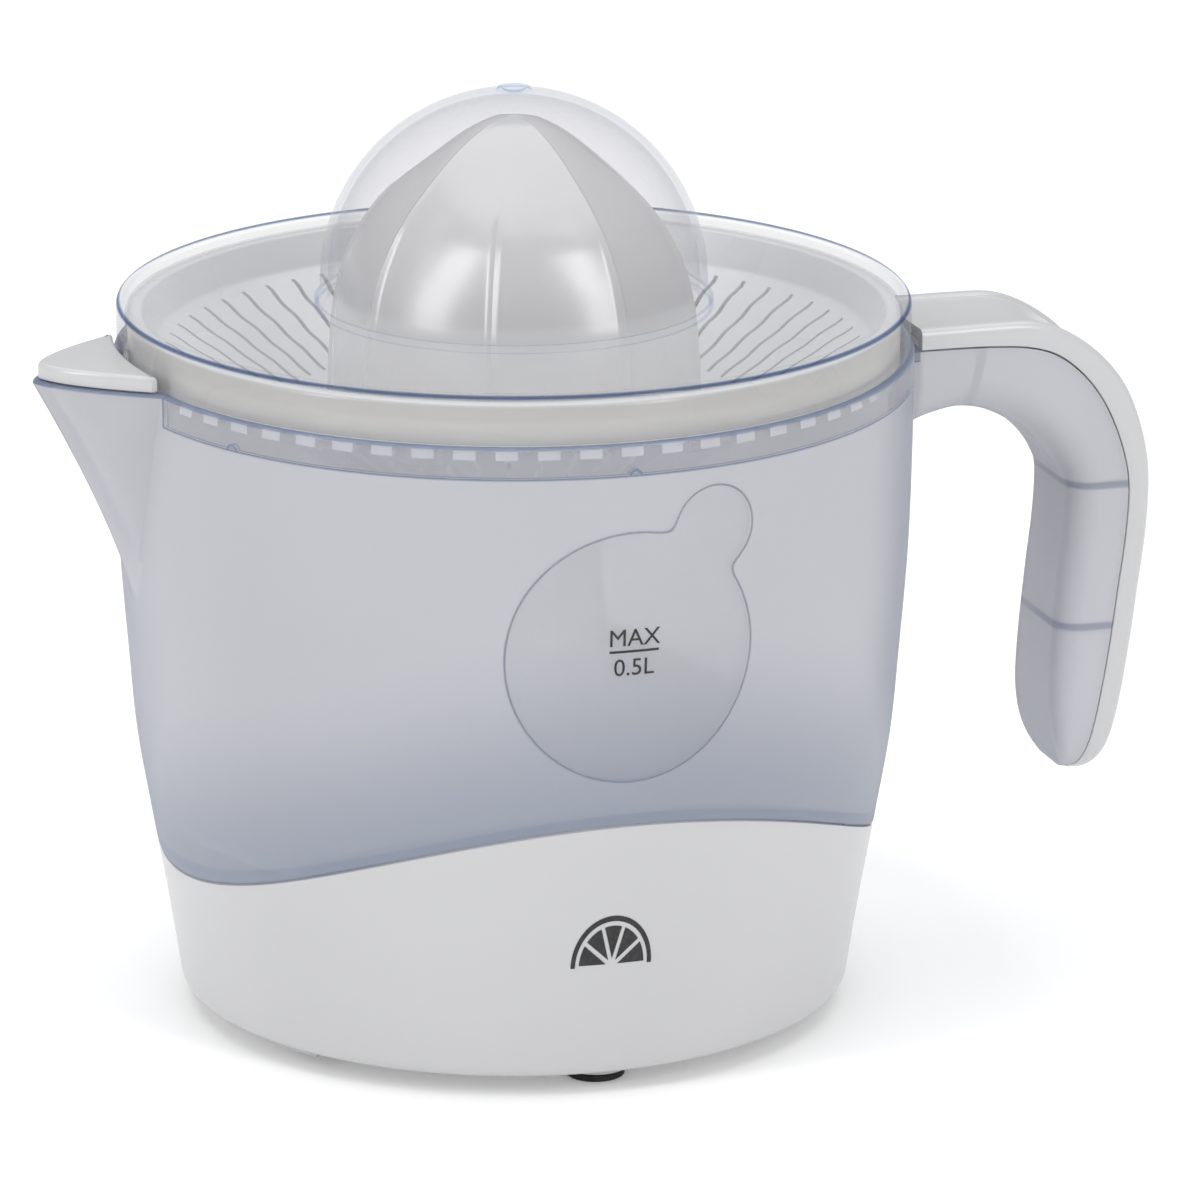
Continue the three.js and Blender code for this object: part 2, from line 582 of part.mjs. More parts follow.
function baseHousing() {
  const ledge = 5.6;
  const inner = wallRadius(38) - ledge;
  const shell = turned([
    [61.4, BASE_BOTTOM], [62.6, BASE_BOTTOM], [63.7, BASE_BOTTOM + 0.7],
    ...wallPoints(6, SEAM_HIGH + 1, 4),
    [wallRadius(SEAM_HIGH) - WALL, SEAM_HIGH + 1],
    [wallRadius(42) - WALL, deckTop(wallRadius(42) - WALL)],
    [PILLAR_RADIUS + 0.4, deckTop(PILLAR_RADIUS + 0.4)], [PILLAR_RADIUS, PILLAR_TOP - 1],
    [PILLAR_RADIUS - 1, PILLAR_TOP],
    [BUSH_SEAT, PILLAR_TOP], [BUSH_SEAT, PILLAR_TOP - 8], [PILLAR_BORE, PILLAR_TOP - 11],
    [PILLAR_BORE, deckUnder(PILLAR_BORE + 2)],
    [inner, deckUnder(inner)], [inner, 33], [wallRadius(28) - WALL, 28], [wallRadius(8) - WALL, 7], [61.4, 7],
  ]);
  const overhang = seamSide(1, -GAP).subtract(wallCore(SPIGOT_INSET + 0.4));
  const aboveDeck = turned([[0, deckTop(0) - 1], [80, deckTop(80) - 1], [80, 120], [0, 120]]);
  const bosses = joinAll([
    ...bossPlaces.map((place) => at(tube(1.4, 3.6, 7, 70, 10), place)),
    ...CHASSIS_EARS.map((place) => at(tube(1.4, 3.5, CHASSIS_TOP + GAP, 70, 10), place)),
  ]).subtract(aboveDeck);
  const cordHole = solid(new THREE.CylinderGeometry(4.4, 4.4, 20, 12).translate(0, 64, CORD_HEIGHT));
  return shell.subtract(overhang).add(bosses).subtract(cordHole);
}

function basePlate() {
  const plate = turned([
    [0, PLATE_BOTTOM], [PLATE_RADIUS - 0.8, PLATE_BOTTOM], [PLATE_RADIUS, PLATE_BOTTOM + 0.7],
    [PLATE_RADIUS, PLATE_TOP], [0, PLATE_TOP],
  ]);
  const footPlaces = FOOT_ANGLES.map((degrees) => polar(FOOT_CIRCLE, degrees));
  const feet = joinAll(footPlaces.map((place) => at(turned(
    [[0, FOOT_HEIGHT + GAP], [6.2, FOOT_HEIGHT + GAP], [6.6, 4.4], [6.6, 9.4], [0, 9.4]], 16), place)));
  const stemHoles = joinAll(footPlaces.map((place) => at(disc(FOOT_STEM_RADIUS + GAP, 0, 8, 16), place)));
  const lugs = joinAll(LUG_ANGLES.map((degrees) => {
    const arc = (r, from, to) => range(4).map((i) => polar(r, lerp(from, to, i / 3)));
    const ends = [...arc(60.2, degrees - 5, degrees + 5), ...arc(57.6, degrees + 5, degrees - 5)];
    return slab(outline(ends), 2.1, 4.6);
  }));
  const motorPosts = joinAll(motorScrewPlaces.map((place) => at(tube(1.2, 3.2, 6.2, 14.7, 12), place)));
  const screwHole = disc(1.9, 0, 12, 12).add(disc(3.3, 0, 5.2, 12));
  const screwHoles = joinAll(bossPlaces.map((place) => at(screwHole, place)));
  const vent = () => box(VENT_FROM, VENT_TO, -VENT_HALF_WIDTH, VENT_HALF_WIDTH, 0, 12);
  const vents = solid(mergeGeometries(range(VENT_COUNT)
    .map((i) => vent().rotateZ(radians(360 / VENT_COUNT * i)))));
  return plate.add(feet).add(lugs).subtract(stemHoles).subtract(screwHoles).subtract(vents).add(motorPosts);
}

function foot() {
  return turned([
    [0, 0], [FOOT_RADIUS - 0.4, 0], [FOOT_RADIUS, 0.4], [FOOT_RADIUS, FOOT_HEIGHT],
    [FOOT_STEM_RADIUS, FOOT_HEIGHT], [FOOT_STEM_RADIUS, 7.6], [0, 7.6],
  ], 16);
}

function cordGrommet() {
  const wall = wallRadius(CORD_HEIGHT + 7) + GAP;
  const ring = turned([
    [2.8, wall + 2], [6, wall + 2], [6.6, wall + 1.4], [6.6, wall], [4.1, wall],
    [4.1, wall - WALL - 2.4], [2.8, wall - WALL - 2.4],
  ], 12);
  return ring.rotate([-90, 0, 0]).translate([0, 0, CORD_HEIGHT]);
}

function screw(headBottom, headRadius, headHeight, shankRadius, shankLength) {
  return turned([
    [0, headBottom + 0.7], [0.8, headBottom], [headRadius, headBottom], [headRadius, headBottom + headHeight],
    [shankRadius, headBottom + headHeight], [shankRadius, headBottom + headHeight + shankLength],
    [0, headBottom + headHeight + shankLength],
  ], 10);
}

// ---------------------------------------------------------------- motor
const STACK_BOTTOM = 15;
const STACK_TOP = 25;
const LEG_NEAR = 7;                  // stator legs, measured from the line through the rotor
const LEG_FAR = 14;
const YOKE = [-50, -39];             // along the legs, measured from the rotor
const COIL = [-36, -14];
const motorScrewPlaces = [[-44.5, -9], [-44.5, 9]]
  .map(([x, y]) => [ROTOR_AXIS.x + x, ROTOR_AXIS.y + y]);

function statorCore() {
  const poleHole = 10;
  const lowerHalf = [
    [YOKE[0], -LEG_FAR], [11, -LEG_FAR], [11, -3], [9.5, -3], [9.5, -2], [-9.5, -2], [-12, -4],
    [-12, -LEG_NEAR], [YOKE[1], -LEG_NEAR],
  ];
  const upperHalf = lowerHalf.toReversed().map(([x, y]) => [x, -y]);
  const points = [...lowerHalf, ...upperHalf];
  const core = slab(outline(points), STACK_BOTTOM, STACK_TOP).subtract(disc(poleHole, 0, 40, 24));
  const holes = joinAll(motorScrewPlaces.map(([x, y]) => at(disc(1.8, 0, 40, 10),
    [x - ROTOR_AXIS.x, y - ROTOR_AXIS.y])));
  return at(core.subtract(holes), ROTOR_AXIS.toArray());
}

// A bobbin on one leg of the stator, its winding 1 mm in from its two flanges.
function coil(side) {
  const middle = side * (LEG_NEAR + LEG_FAR) / 2;
  const level = (STACK_BOTTOM + STACK_TOP) / 2;
  const flange = 8.4;
  const wound = flange - 1;
  const body = solid(box(COIL[0], COIL[1], middle - flange, middle + flange, level - flange, level + flange));
  const waist = solid(box(COIL[0] + 1.5, COIL[1] - 1.5, middle - 20, middle + 20, level - 20, level + 20))
    .subtract(solid(box(COIL[0], COIL[1], middle - wound, middle + wound, level - wound, level + wound)));
  const hole = solid(box(-60, 20, middle - 3.8, middle + 3.8, STACK_BOTTOM - GAP, STACK_TOP + GAP));
  return at(body.subtract(waist).subtract(hole), ROTOR_AXIS.toArray());
}

// ---------------------------------------------------------------- gear train
const outputPhase = 0;
const secondSmallPhase = meshingPhase(
  OUTPUT_TEETH, outputPhase, SPINDLE_AXIS, PINION_TEETH, SECOND_GEAR_AXIS);
const secondLargePhase = 0;
const firstSmallPhase = meshingPhase(
  LARGE_TEETH, secondLargePhase, SECOND_GEAR_AXIS, PINION_TEETH, FIRST_GEAR_AXIS);
const firstLargePhase = 0;
const rotorPhase = meshingPhase(
  LARGE_TEETH, firstLargePhase, FIRST_GEAR_AXIS, PINION_TEETH, ROTOR_AXIS);
const LEVEL_A = [32.6, 36.2];
const LEVEL_B = [37, 40.6];
const LEVEL_C = [LEVEL_B[1] + PRESS_TRAVEL + 0.6, 48.2];
const FIRST_PINION_TOP = 44.6;
const SECOND_PINION_TOP = 50.2;
const PIN_RADIUS = 1.5;
const PIN_BORE = 1.8;

function compoundGear(axis, largePhase, large, smallPhase, smallTop) {
  const wheel = gear(LARGE_TEETH, largePhase, PIN_BORE, large[0], large[1]);
  const pinion = gear(PINION_TEETH, smallPhase, PIN_BORE, large[1] - 0.2, smallTop);
  return at(wheel.add(pinion), axis.toArray());
}

function rotorMagnet() {
  return at(tube(1.9, 8.8, STACK_BOTTOM - 1, STACK_TOP + 1, 20), ROTOR_AXIS.toArray());
}

function rotorPinion() {
  const pinion = gear(PINION_TEETH, rotorPhase, PIN_BORE, LEVEL_A[0], LEVEL_A[1]);
  const stem = tube(PIN_BORE, 3, STACK_TOP + 1.3, LEVEL_A[0] + 0.2, 12);
  return at(pinion.add(stem), ROTOR_AXIS.toArray());
}

const pin = (axis, bottom, top) => at(disc(PIN_RADIUS, bottom, top, 12), axis.toArray());
const clip = (axis, bottom) => at(tube(PIN_RADIUS + 0.25, 3.4, bottom, bottom + 0.7, 12), axis.toArray());

function gearChassis() {
  const arbors = [ROTOR_AXIS, FIRST_GEAR_AXIS, SECOND_GEAR_AXIS];
  const pads = [
    disc(9, CHASSIS_BOTTOM, CHASSIS_TOP, 20),
    ...arbors.map((axis) => at(disc(7, CHASSIS_BOTTOM, CHASSIS_TOP, 20), axis.toArray())),
  ];
  const web = slab(outline([
    [-22, 9.5], [-4, -9], [0, -44], [4, -47.8], [9, -44], [20, -32], [33, -20], [43.5, 15],
    [40, 19.5], [22, 11], [0, 9], [-21, 16.5],
  ]), CHASSIS_BOTTOM, CHASSIS_TOP);
  const ears = CHASSIS_EARS.map((place) => at(disc(4.4, CHASSIS_BOTTOM, CHASSIS_TOP, 14), place));
  const cup = tube(6.6, 8.4, 18.4, CHASSIS_BOTTOM + 0.2, 20).add(tube(2.6, 8.4, 17, 18.6, 20));
  const holes = [
    disc(SPINDLE_RADIUS + 0.35, 20, 40, 16).add(disc(6.6, 18.5, CHASSIS_BOTTOM - 1.2, 20)),
    at(disc(3.6, 20, 40, 14), ROTOR_AXIS.toArray()),
    at(disc(PIN_RADIUS + GAP, 20, 40, 12), FIRST_GEAR_AXIS.toArray()),
    at(disc(PIN_RADIUS + GAP, 20, 40, 12), SECOND_GEAR_AXIS.toArray()),
    ...CHASSIS_EARS.map((place) => at(disc(1.7, 20, 40, 10), place)),
  ];
  return joinAll([...pads, web, ...ears]).subtract(joinAll(holes)).add(cup);
}

function driveSpindle() {
  const shaft = turned([
    [0, SPINDLE_BOTTOM], [SPINDLE_RADIUS - 0.5, SPINDLE_BOTTOM], [SPINDLE_RADIUS, SPINDLE_BOTTOM + 0.5],
    [SPINDLE_RADIUS, SPINDLE_TOP - 1.5], [SPINDLE_RADIUS - 1.2, SPINDLE_TOP], [0, SPINDLE_TOP],
  ], 16);
  const flats = [-1, 1].map((side) => {
    const [a, b] = [side * SPINDLE_FLAT, side * 9];
    return solid(box(-9, 9, Math.min(a, b), Math.max(a, b), 106, 130));
  });
  return shaft.subtract(joinAll(flats));
}

function outputGear() {
  const wheel = gear(OUTPUT_TEETH, outputPhase, SPINDLE_RADIUS + GAP, LEVEL_C[0], LEVEL_C[1]);
  return wheel.add(tube(SPINDLE_RADIUS + GAP, 7, LEVEL_C[1] - 0.2, LEVEL_C[1] + 3.5, 16));
}

// Press plunger: a collar under the spindle with a thin tip that works the switch.
const PLUNGER_TOP = SPINDLE_BOTTOM - 1.2;
const PLUNGER_TIP = 15.1;

function pressPlunger() {
  return turned([
    [0, PLUNGER_TIP], [2.2, PLUNGER_TIP], [2.2, 24.2], [5.6, 24.2], [5.6, PLUNGER_TOP], [0, PLUNGER_TOP],
  ], 16);
}

function returnSpring() {
  const [turns, radius, wire] = [4, 4.2, 0.5];
  const [bottom, top] = [18.9 + wire, 23.9 - wire];
  const steps = turns * 10;
  const points = range(steps + 1).map((i) => {
    const [x, y] = polar(radius, 360 * turns * i / steps);
    return new THREE.Vector3(x, y, lerp(bottom, top, i / steps));
  });
  const section = outline(range(5).map((i) => polar(wire, 72 * i)));
  const path = new THREE.CatmullRomCurve3(points);
  return solid(new THREE.ExtrudeGeometry(section, { steps, extrudePath: path, bevelEnabled: false }));
}

function switchBody() {
  const shell = solid(box(-6, 14, -4, 4, 7, 13));
  const well = solid(box(-2.2, 2.2, -2.2, 2.2, 9, 20));
  const terminals = [5, 9, 12.5].map((x) => solid(box(x - 0.4, x + 0.4, -1.6, 1.6, 12.9, 16.5)));
  return shell.subtract(well).add(joinAll(terminals));
}

function switchButton() {
  return solid(box(-1.9, 1.9, -1.9, 1.9, 11.3, 14.8));
}

// ---------------------------------------------------------------- materials and assembly
const finish = {
  clear: { color: 0xdfe5ec, roughness: 0.05, metalness: 0 },
  frosted: { color: 0xbec2cc, roughness: 0.45, metalness: 0 },
  white: { color: 0xe9eaea, roughness: 0.3, metalness: 0 },
  nylon: { color: 0xdcd8c8, roughness: 0.5, metalness: 0 },
  rubber: { color: 0x1b1b1c, roughness: 0.8, metalness: 0 },
  steel: { color: 0x9fa2a6, roughness: 0.35, metalness: 1 },
  iron: { color: 0x6d7075, roughness: 0.5, metalness: 0.9 },
  copper: { color: 0xb06a36, roughness: 0.4, metalness: 0.6 },
  magnet: { color: 0x35363a, roughness: 0.6, metalness: 0.3 },
  bronze: { color: 0xa9824a, roughness: 0.4, metalness: 0.9 },
  switchBlack: { color: 0x2a2b2e, roughness: 0.5, metalness: 0 },
};

const juicer = new THREE.Group();
juicer.position.x = (SPOUT_REACH - HANDLE_REACH) / 2;

function add(name, shape, look) {
  const mesh = new THREE.Mesh(geometryOf(shape), new THREE.MeshStandardMaterial(finish[look]));
  mesh.name = name;
  juicer.add(mesh);
}

add('dust_cover', dustCover(), 'clear');
add('reamer', reamer(), 'white');
add('strainer', strainer(), 'white');
add('jug_body', jugBody(), 'frosted');
add('handle_cover', handleCover(), 'white');
add('spout_cover', spoutCover(), 'white');

add('base_housing', baseHousing(), 'white');
add('base_plate', basePlate(), 'white');
add('cord_grommet', cordGrommet(), 'rubber');
FOOT_ANGLES.forEach((degrees, i) => {
  add(`foot_${i + 1}`, at(foot(), polar(FOOT_CIRCLE, degrees)), 'rubber');
});
bossPlaces.forEach((place, i) => {
  add(`base_screw_${i + 1}`, at(screw(3.2, 2.9, 1.7, 1.1, 9), place), 'steel');
});

add('stator_core', statorCore(), 'iron');
add('coil_1', coil(-1), 'copper');
add('coil_2', coil(1), 'copper');
add('rotor_shaft', pin(ROTOR_AXIS, 9, 38), 'steel');
add('rotor_magnet', rotorMagnet(), 'magnet');
add('rotor_pinion', rotorPinion(), 'nylon');
motorScrewPlaces.forEach((place, i) => {
  const driven = screw(0, 3, 2, 0.9, 16).rotate([180, 0, 0]).translate([0, 0, STACK_TOP + 2.3]);
  add(`motor_screw_${i + 1}`, at(driven, place), 'steel');
});

add('gear_chassis', gearChassis(), 'nylon');
CHASSIS_EARS.forEach((place, i) => {
  add(`chassis_screw_${i + 1}`, at(screw(CHASSIS_BOTTOM - 2.2, 2.8, 1.9, 1.1, 9), place), 'steel');
});
add('gear_pin_1', pin(FIRST_GEAR_AXIS, 28, 46), 'steel');
add('gear_pin_2', pin(SECOND_GEAR_AXIS, 28, 52), 'steel');
add('gear_clip_1', clip(FIRST_GEAR_AXIS, FIRST_PINION_TOP + 0.4), 'steel');
add('gear_clip_2', clip(SECOND_GEAR_AXIS, SECOND_PINION_TOP + 0.4), 'steel');
add('intermediate_gear_1',
  compoundGear(FIRST_GEAR_AXIS, firstLargePhase, LEVEL_A, firstSmallPhase, FIRST_PINION_TOP), 'nylon');
add('intermediate_gear_2',
  compoundGear(SECOND_GEAR_AXIS, secondLargePhase, LEVEL_B, secondSmallPhase, SECOND_PINION_TOP), 'nylon');

add('drive_spindle', driveSpindle(), 'steel');
add('output_gear', outputGear(), 'nylon');
add('thrust_washer', tube(1, 3.6, PLUNGER_TOP + GAP, SPINDLE_BOTTOM - GAP, 14), 'bronze');
add('press_plunger', pressPlunger(), 'nylon');
add('return_spring', returnSpring(), 'steel');
add('spindle_bush', tube(SPINDLE_RADIUS + 0.28, BUSH_SEAT - GAP, PILLAR_TOP - 7, PILLAR_TOP, 16), 'bronze');
add('spindle_seal', turned([
  [SPINDLE_RADIUS + 0.28, PILLAR_TOP + GAP], [8, PILLAR_TOP + GAP], [8, PILLAR_TOP + 1.2],
  [5.2, PILLAR_TOP + 2.2], [SPINDLE_RADIUS + 0.28, PILLAR_TOP + 2.2],
], 16), 'rubber');
add('switch_body', switchBody(), 'switchBlack');
add('switch_button', switchButton(), 'rubber');

export default juicer;
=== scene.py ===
"""Looks of the citrus press juicer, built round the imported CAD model.

Sizes are in millimetres about the vertical spindle axis, as in the CAD source. +X is the handle, -X the spout
and -Y the front. P() turns such a point into the frame's metres.
"""

from functools import reduce
from math import acos, asin, atan2, cos, degrees, dist, exp, hypot, pi, radians, sin, sqrt, tan

import bmesh
import bpy
import numpy as np
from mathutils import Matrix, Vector


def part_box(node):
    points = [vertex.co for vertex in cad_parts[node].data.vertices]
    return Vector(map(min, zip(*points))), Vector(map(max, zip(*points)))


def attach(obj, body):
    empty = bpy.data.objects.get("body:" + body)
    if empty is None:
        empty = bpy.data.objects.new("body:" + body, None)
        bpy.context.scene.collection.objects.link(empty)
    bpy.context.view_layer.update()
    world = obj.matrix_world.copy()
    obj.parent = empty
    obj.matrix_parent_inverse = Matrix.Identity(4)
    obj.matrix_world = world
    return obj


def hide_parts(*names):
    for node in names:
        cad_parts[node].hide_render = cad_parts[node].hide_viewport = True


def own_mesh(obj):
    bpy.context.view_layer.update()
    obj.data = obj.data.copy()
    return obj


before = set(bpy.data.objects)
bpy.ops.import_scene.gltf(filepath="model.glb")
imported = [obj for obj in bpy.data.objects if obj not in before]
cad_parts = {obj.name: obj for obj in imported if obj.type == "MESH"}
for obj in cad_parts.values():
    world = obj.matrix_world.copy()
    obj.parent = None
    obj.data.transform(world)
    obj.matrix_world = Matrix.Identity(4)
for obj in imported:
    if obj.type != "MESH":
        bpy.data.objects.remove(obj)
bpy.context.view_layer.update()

MM = 0.001
strainer_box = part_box("strainer")
AXIS_X = (strainer_box[0].x + strainer_box[1].x) / 2  # the spindle axis stands on y = 0


def P(x, y, z):
    return (AXIS_X + x * MM, y * MM, z * MM)


# ---------------- sizes
WALL_PROFILE = [(3.9, 63.9), (22, 66.7), (38, 69.5), (54, 72.1), (70, 73.5), (90, 74.95), (110, 75.5),
                (128.3, 75.6)]
BASE_BOTTOM = 3.9
RIM = 128.3
SPIGOT_LEVEL = 45  # where the jug's foot is measured
SEAM_HIGH = 55.1  # at the front and back, and low at the spout and handle
SEAM_LOW = 33.3
SEAM_GAP = 0.3
BASE_WALL = 2.4
SPIGOT_INSET = 2.8
JUG_WALL = 2.2
BAND_WALL = 1.8
LIP_HEIGHT = 2.4
LIP_WALL = 5.0
CLEAR_BAND = 122.4
COLUMN_RADIUS = 16.8
COLUMN_BORE = 14.4
COLUMN_TOP = 108.3
COLUMN_LIP_TOP = 113
SPINDLE_HOLE = 6.6
FLOOR_AT_COLUMN = 73.1
FLOOR_SLOPE = 0.58
FLOOR_THICKNESS = 2.4
DECK_GAP = 0.8
DECK_THICKNESS = 2.2
PILLAR_RADIUS = 12.4
PILLAR_TOP = 102
PILLAR_BORE = 9
BUSH_SEAT = 5.6
PLATE_SEAT = 61.4
SPOUT_ROOT = 84
SPOUT_HALF_WIDTH = 18.4
SPOUT_THROW = 18.1


def catmull(points, steps):
    """Points along a smooth curve through the given ones, with equal steps in each span."""
    pts = [np.array(p, float) for p in points]
    pts = [2 * pts[0] - pts[1]] + pts + [2 * pts[-1] - pts[-2]]
    out = []
    for i in range(1, len(pts) - 2):
        a, b, c, d = pts[i - 1:i + 3]
        for k in range(steps):
            t = k / steps
            out.append(0.5 * (2 * b + (c - a) * t + (2 * a - 5 * b + 4 * c - d) * t * t
                              + (3 * b - a - 3 * c + d) * t ** 3))
    out.append(pts[-2])
    return [tuple(float(v) for v in p) for p in out]


wall_line = catmull(WALL_PROFILE, 12)


def wall_radius(z):
    return float(np.interp(z, [p[0] for p in wall_line], [p[1] for p in wall_line]))


def lerp(a, b, t):
    return a + (b - a) * t


def smooth(a, b, v):
    t = min(max((v - a) / (b - a), 0), 1)
    return t * t * (3 - 2 * t)


def seam_height(x):
    return SEAM_HIGH - (SEAM_HIGH - SEAM_LOW) * (x / wall_radius(SEAM_LOW)) ** 2


def floor_top(r):
    return FLOOR_AT_COLUMN - FLOOR_SLOPE * (r - COLUMN_RADIUS)


def floor_under(r):
    return floor_top(r) - FLOOR_THICKNESS


def deck_top(r):
    return floor_under(r) - DECK_GAP


def deck_under(r):
    return deck_top(r) - DECK_THICKNESS


# ---------------- mesh tools
JOIN_DISTANCE = 1e-3


def fillet(points, steps=4, closed=True):
    """A 2-D outline whose corners (x, y, radius) are rounded, always with steps + 1 points a corner."""
    out, n = [], len(points)
    for i, p in enumerate(points):
        b = np.array(p[:2], float)
        if len(p) < 3 or (not closed and i in (0, n - 1)):
            out.append(tuple(b))
            continue
        a, c = (np.array(points[j][:2], float) for j in (i - 1, (i + 1) % n))
        la, lc = np.linalg.norm(a - b), np.linalg.norm(c - b)
        u, v = (a - b) / max(la, 1e-9), (c - b) / max(lc, 1e-9)
        half = acos(max(-1, min(1, float(u @ v)))) / 2
        if half > 1.55 or half < 0.02:
            cut = min(p[2], 0.45 * la, 0.45 * lc)
            out += [tuple(lerp(b + u * cut, b + v * cut, k / steps)) for k in range(steps + 1)]
            continue
        cut = min(p[2] / tan(half), 0.49 * la, 0.49 * lc)
        radius = cut * tan(half)
        centre = b + (u + v) / np.linalg.norm(u + v) * radius / sin(half)
        start, end = b + u * cut - centre, b + v * cut - centre
        a0, a1 = atan2(start[1], start[0]), atan2(end[1], end[0])
        turn = (a1 - a0 + pi) % (2 * pi) - pi
        for k in range(steps + 1):
            angle = a0 + turn * k / steps
            out.append((centre[0] + radius * cos(angle), centre[1] + radius * sin(angle)))
    return out


def around(r, a):
    return r * cos(a), r * sin(a)


def add_object(name, data):
    obj = bpy.data.objects.new(name, data)
    bpy.context.scene.collection.objects.link(obj)
    return obj


def make(name, points, faces, sharp=32):
    """A mesh object from points in millimetres, smooth except across edges sharper than an angle."""
    mesh = bpy.data.meshes.new(name)
    mesh.from_pydata([P(*p) for p in points], [], faces)
    obj = add_object(name, mesh)
    tidy(obj, sharp)
    return obj


def tidy(obj, sharp):
    """Joins doubled points, faces the surface outwards and marks the sharp edges."""
    bm = bmesh.new()
    bm.from_mesh(obj.data)
    bmesh.ops.remove_doubles(bm, verts=bm.verts, dist=JOIN_DISTANCE * MM)
    bmesh.ops.dissolve_degenerate(bm, edges=bm.edges, dist=JOIN_DISTANCE * MM)
    bmesh.ops.recalc_face_normals(bm, faces=bm.faces)
    for f in bm.faces:
        f.smooth = True
    for e in bm.edges:
        e.smooth = not (len(e.link_faces) == 2 and e.calc_face_angle(0) > radians(sharp))
    bm.to_mesh(obj.data)
    bm.free()
    obj.data.update()


def loft(name, rings, closed=False, sharp=32, caps=True):
    """A skin through equal rings of points: closed on itself, or with an end cap at each end. Paired caps
    join the first half of a ring to the second half by quads, for a ring that bends round a hollow."""
    n = len(rings[0])
    points = [p for ring in rings for p in ring]
    faces = []
    spans = len(rings) if closed else len(rings) - 1
    for i in range(spans):
        k = (i + 1) % len(rings)
        for j in range(n):
            m = (j + 1) % n
            faces.append((i * n + j, i * n + m, k * n + m, k * n + j))
    if caps == "paired":
        for start in (0, (len(rings) - 1) * n):
            faces += [tuple(start + j for j in (i, i + 1, n - 2 - i, n - 1 - i)) for i in range(n // 2 - 1)]
    elif caps and not closed:
        faces.append(tuple(range(n))[::-1])
        faces.append(tuple(range((len(rings) - 1) * n, len(rings) * n)))
    return make(name, points, faces, sharp)


def spun(name, profile, segments=128, centre=(0, 0), level=None):
    """A body of revolution from a closed (r, z) outline, about a vertical line or, with a level, along +Y."""
    rings = []
    for k in range(segments):
        a = 2 * pi * k / segments
        ring = [(centre[0] + r * cos(a), centre[1] + r * sin(a), z) for r, z in profile]
        rings.append(ring if level is None else [(-x, z, level + y) for x, y, z in ring])
    return loft(name, rings, closed=True)


def bar(name, centre, inner, outer, bottom, top, segments=40):
    """An upright round bar, or a tube where the inner radius is not 0."""
    return spun(name, [(inner, bottom), (outer, bottom), (outer, top), (inner, top)], segments, centre=centre)


def polar(r, degrees):
    return around(r, radians(degrees))


def turned(points, degrees):
    """A plan outline turned about the spindle axis."""
    c, s = cos(radians(degrees)), sin(radians(degrees))
    return [(x * c - y * s, x * s + y * c) for x, y in points]


def evaluated_mesh(obj):
    """The object's mesh with its text and modifiers worked out."""
    return bpy.data.meshes.new_from_object(obj.evaluated_get(bpy.context.evaluated_depsgraph_get()))


def boolean(obj, other, operation):
    """Applies an exact boolean to obj and removes the other object."""
    mod = obj.modifiers.new("cut", "BOOLEAN")
    mod.operation = operation
    mod.object = other
    mod.solver = "EXACT"
    mesh = evaluated_mesh(obj)
    obj.modifiers.clear()
    obj.data = mesh
    bpy.data.objects.remove(other)
    return obj


def piece(obj, body, slot, material, *nodes):
    """Puts a finished piece on its body, with its material and the CAD nodes it stands for, which are hidden.
    The slot is not used.
    """
    obj.data.materials.clear()
    obj.data.materials.append(material)
    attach(obj, body)
    if nodes:
        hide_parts(*nodes)
    return obj


# ---------------- camera, light and floor
def aim(obj, direction):
    """Turns a camera or a lamp towards a direction."""
    obj.rotation_mode = "QUATERNION"
    obj.rotation_quaternion = direction.to_track_quat("-Z", "Y")


camera_data = bpy.data.cameras.new("camera")
camera_data.lens = 243.97
camera_data.sensor_width = 36
camera_data.shift_x = 0.0643
camera_data.clip_start, camera_data.clip_end = 0.05, 60
camera = add_object("camera", camera_data)
camera.location = (AXIS_X - 0.4272, -1.3972, 0.5095)
CAMERA_AZIMUTH, CAMERA_PITCH = radians(73), radians(-16.39)
aim(camera, Vector((cos(CAMERA_AZIMUTH) * cos(CAMERA_PITCH),
                    sin(CAMERA_AZIMUTH) * cos(CAMERA_PITCH), sin(CAMERA_PITCH))))
bpy.context.scene.camera = camera


def lamp(name, place, size, power):
    """A soft rectangular lamp that shines on the middle of the object."""
    data = bpy.data.lights.new(name, "AREA")
    data.shape = "RECTANGLE"
    data.size, data.size_y = size
    data.energy = power
    obj = add_object(name, data)
    obj.location = place
    aim(obj, Vector((AXIS_X, 0, 0.09)) - Vector(place))


lamp("softbox_left", (-1.33, -0.34, 0.75), (0.28, 1.1), 6.5)
lamp("softbox_right", (0.61, -1.23, 0.75), (0.28, 1.1), 6.5)
lamp("overhead", (0, 0.1, 1.5), (1.8, 1.8), 15)

# The camera sees a white surround, and the object is lit by a softer, slightly cool one.
world = bpy.data.worlds.new("studio")
bpy.context.scene.world = world
world.use_nodes = True
world_nodes, world_links = world.node_tree.nodes, world.node_tree.links
world_nodes.clear()
world_out = world_nodes.new("ShaderNodeOutputWorld")
world_mix, world_path = world_nodes.new("ShaderNodeMixShader"), world_nodes.new("ShaderNodeLightPath")
world_links.new(world_path.outputs["Is Camera Ray"], world_mix.inputs[0])
for socket, colour, strength in ((1, (0.98, 0.985, 1, 1), 0.5), (2, (1, 1, 1, 1), 1.0)):
    light = world_nodes.new("ShaderNodeBackground")
    light.inputs["Color"].default_value = colour
    light.inputs["Strength"].default_value = strength
    world_links.new(light.outputs[0], world_mix.inputs[socket])
world_links.new(world_mix.outputs[0], world_out.inputs["Surface"])

bpy.context.scene.view_settings.view_transform = "Standard"
cycles = bpy.context.scene.cycles
cycles.max_bounces, cycles.transmission_bounces, cycles.transparent_max_bounces = 20, 16, 20

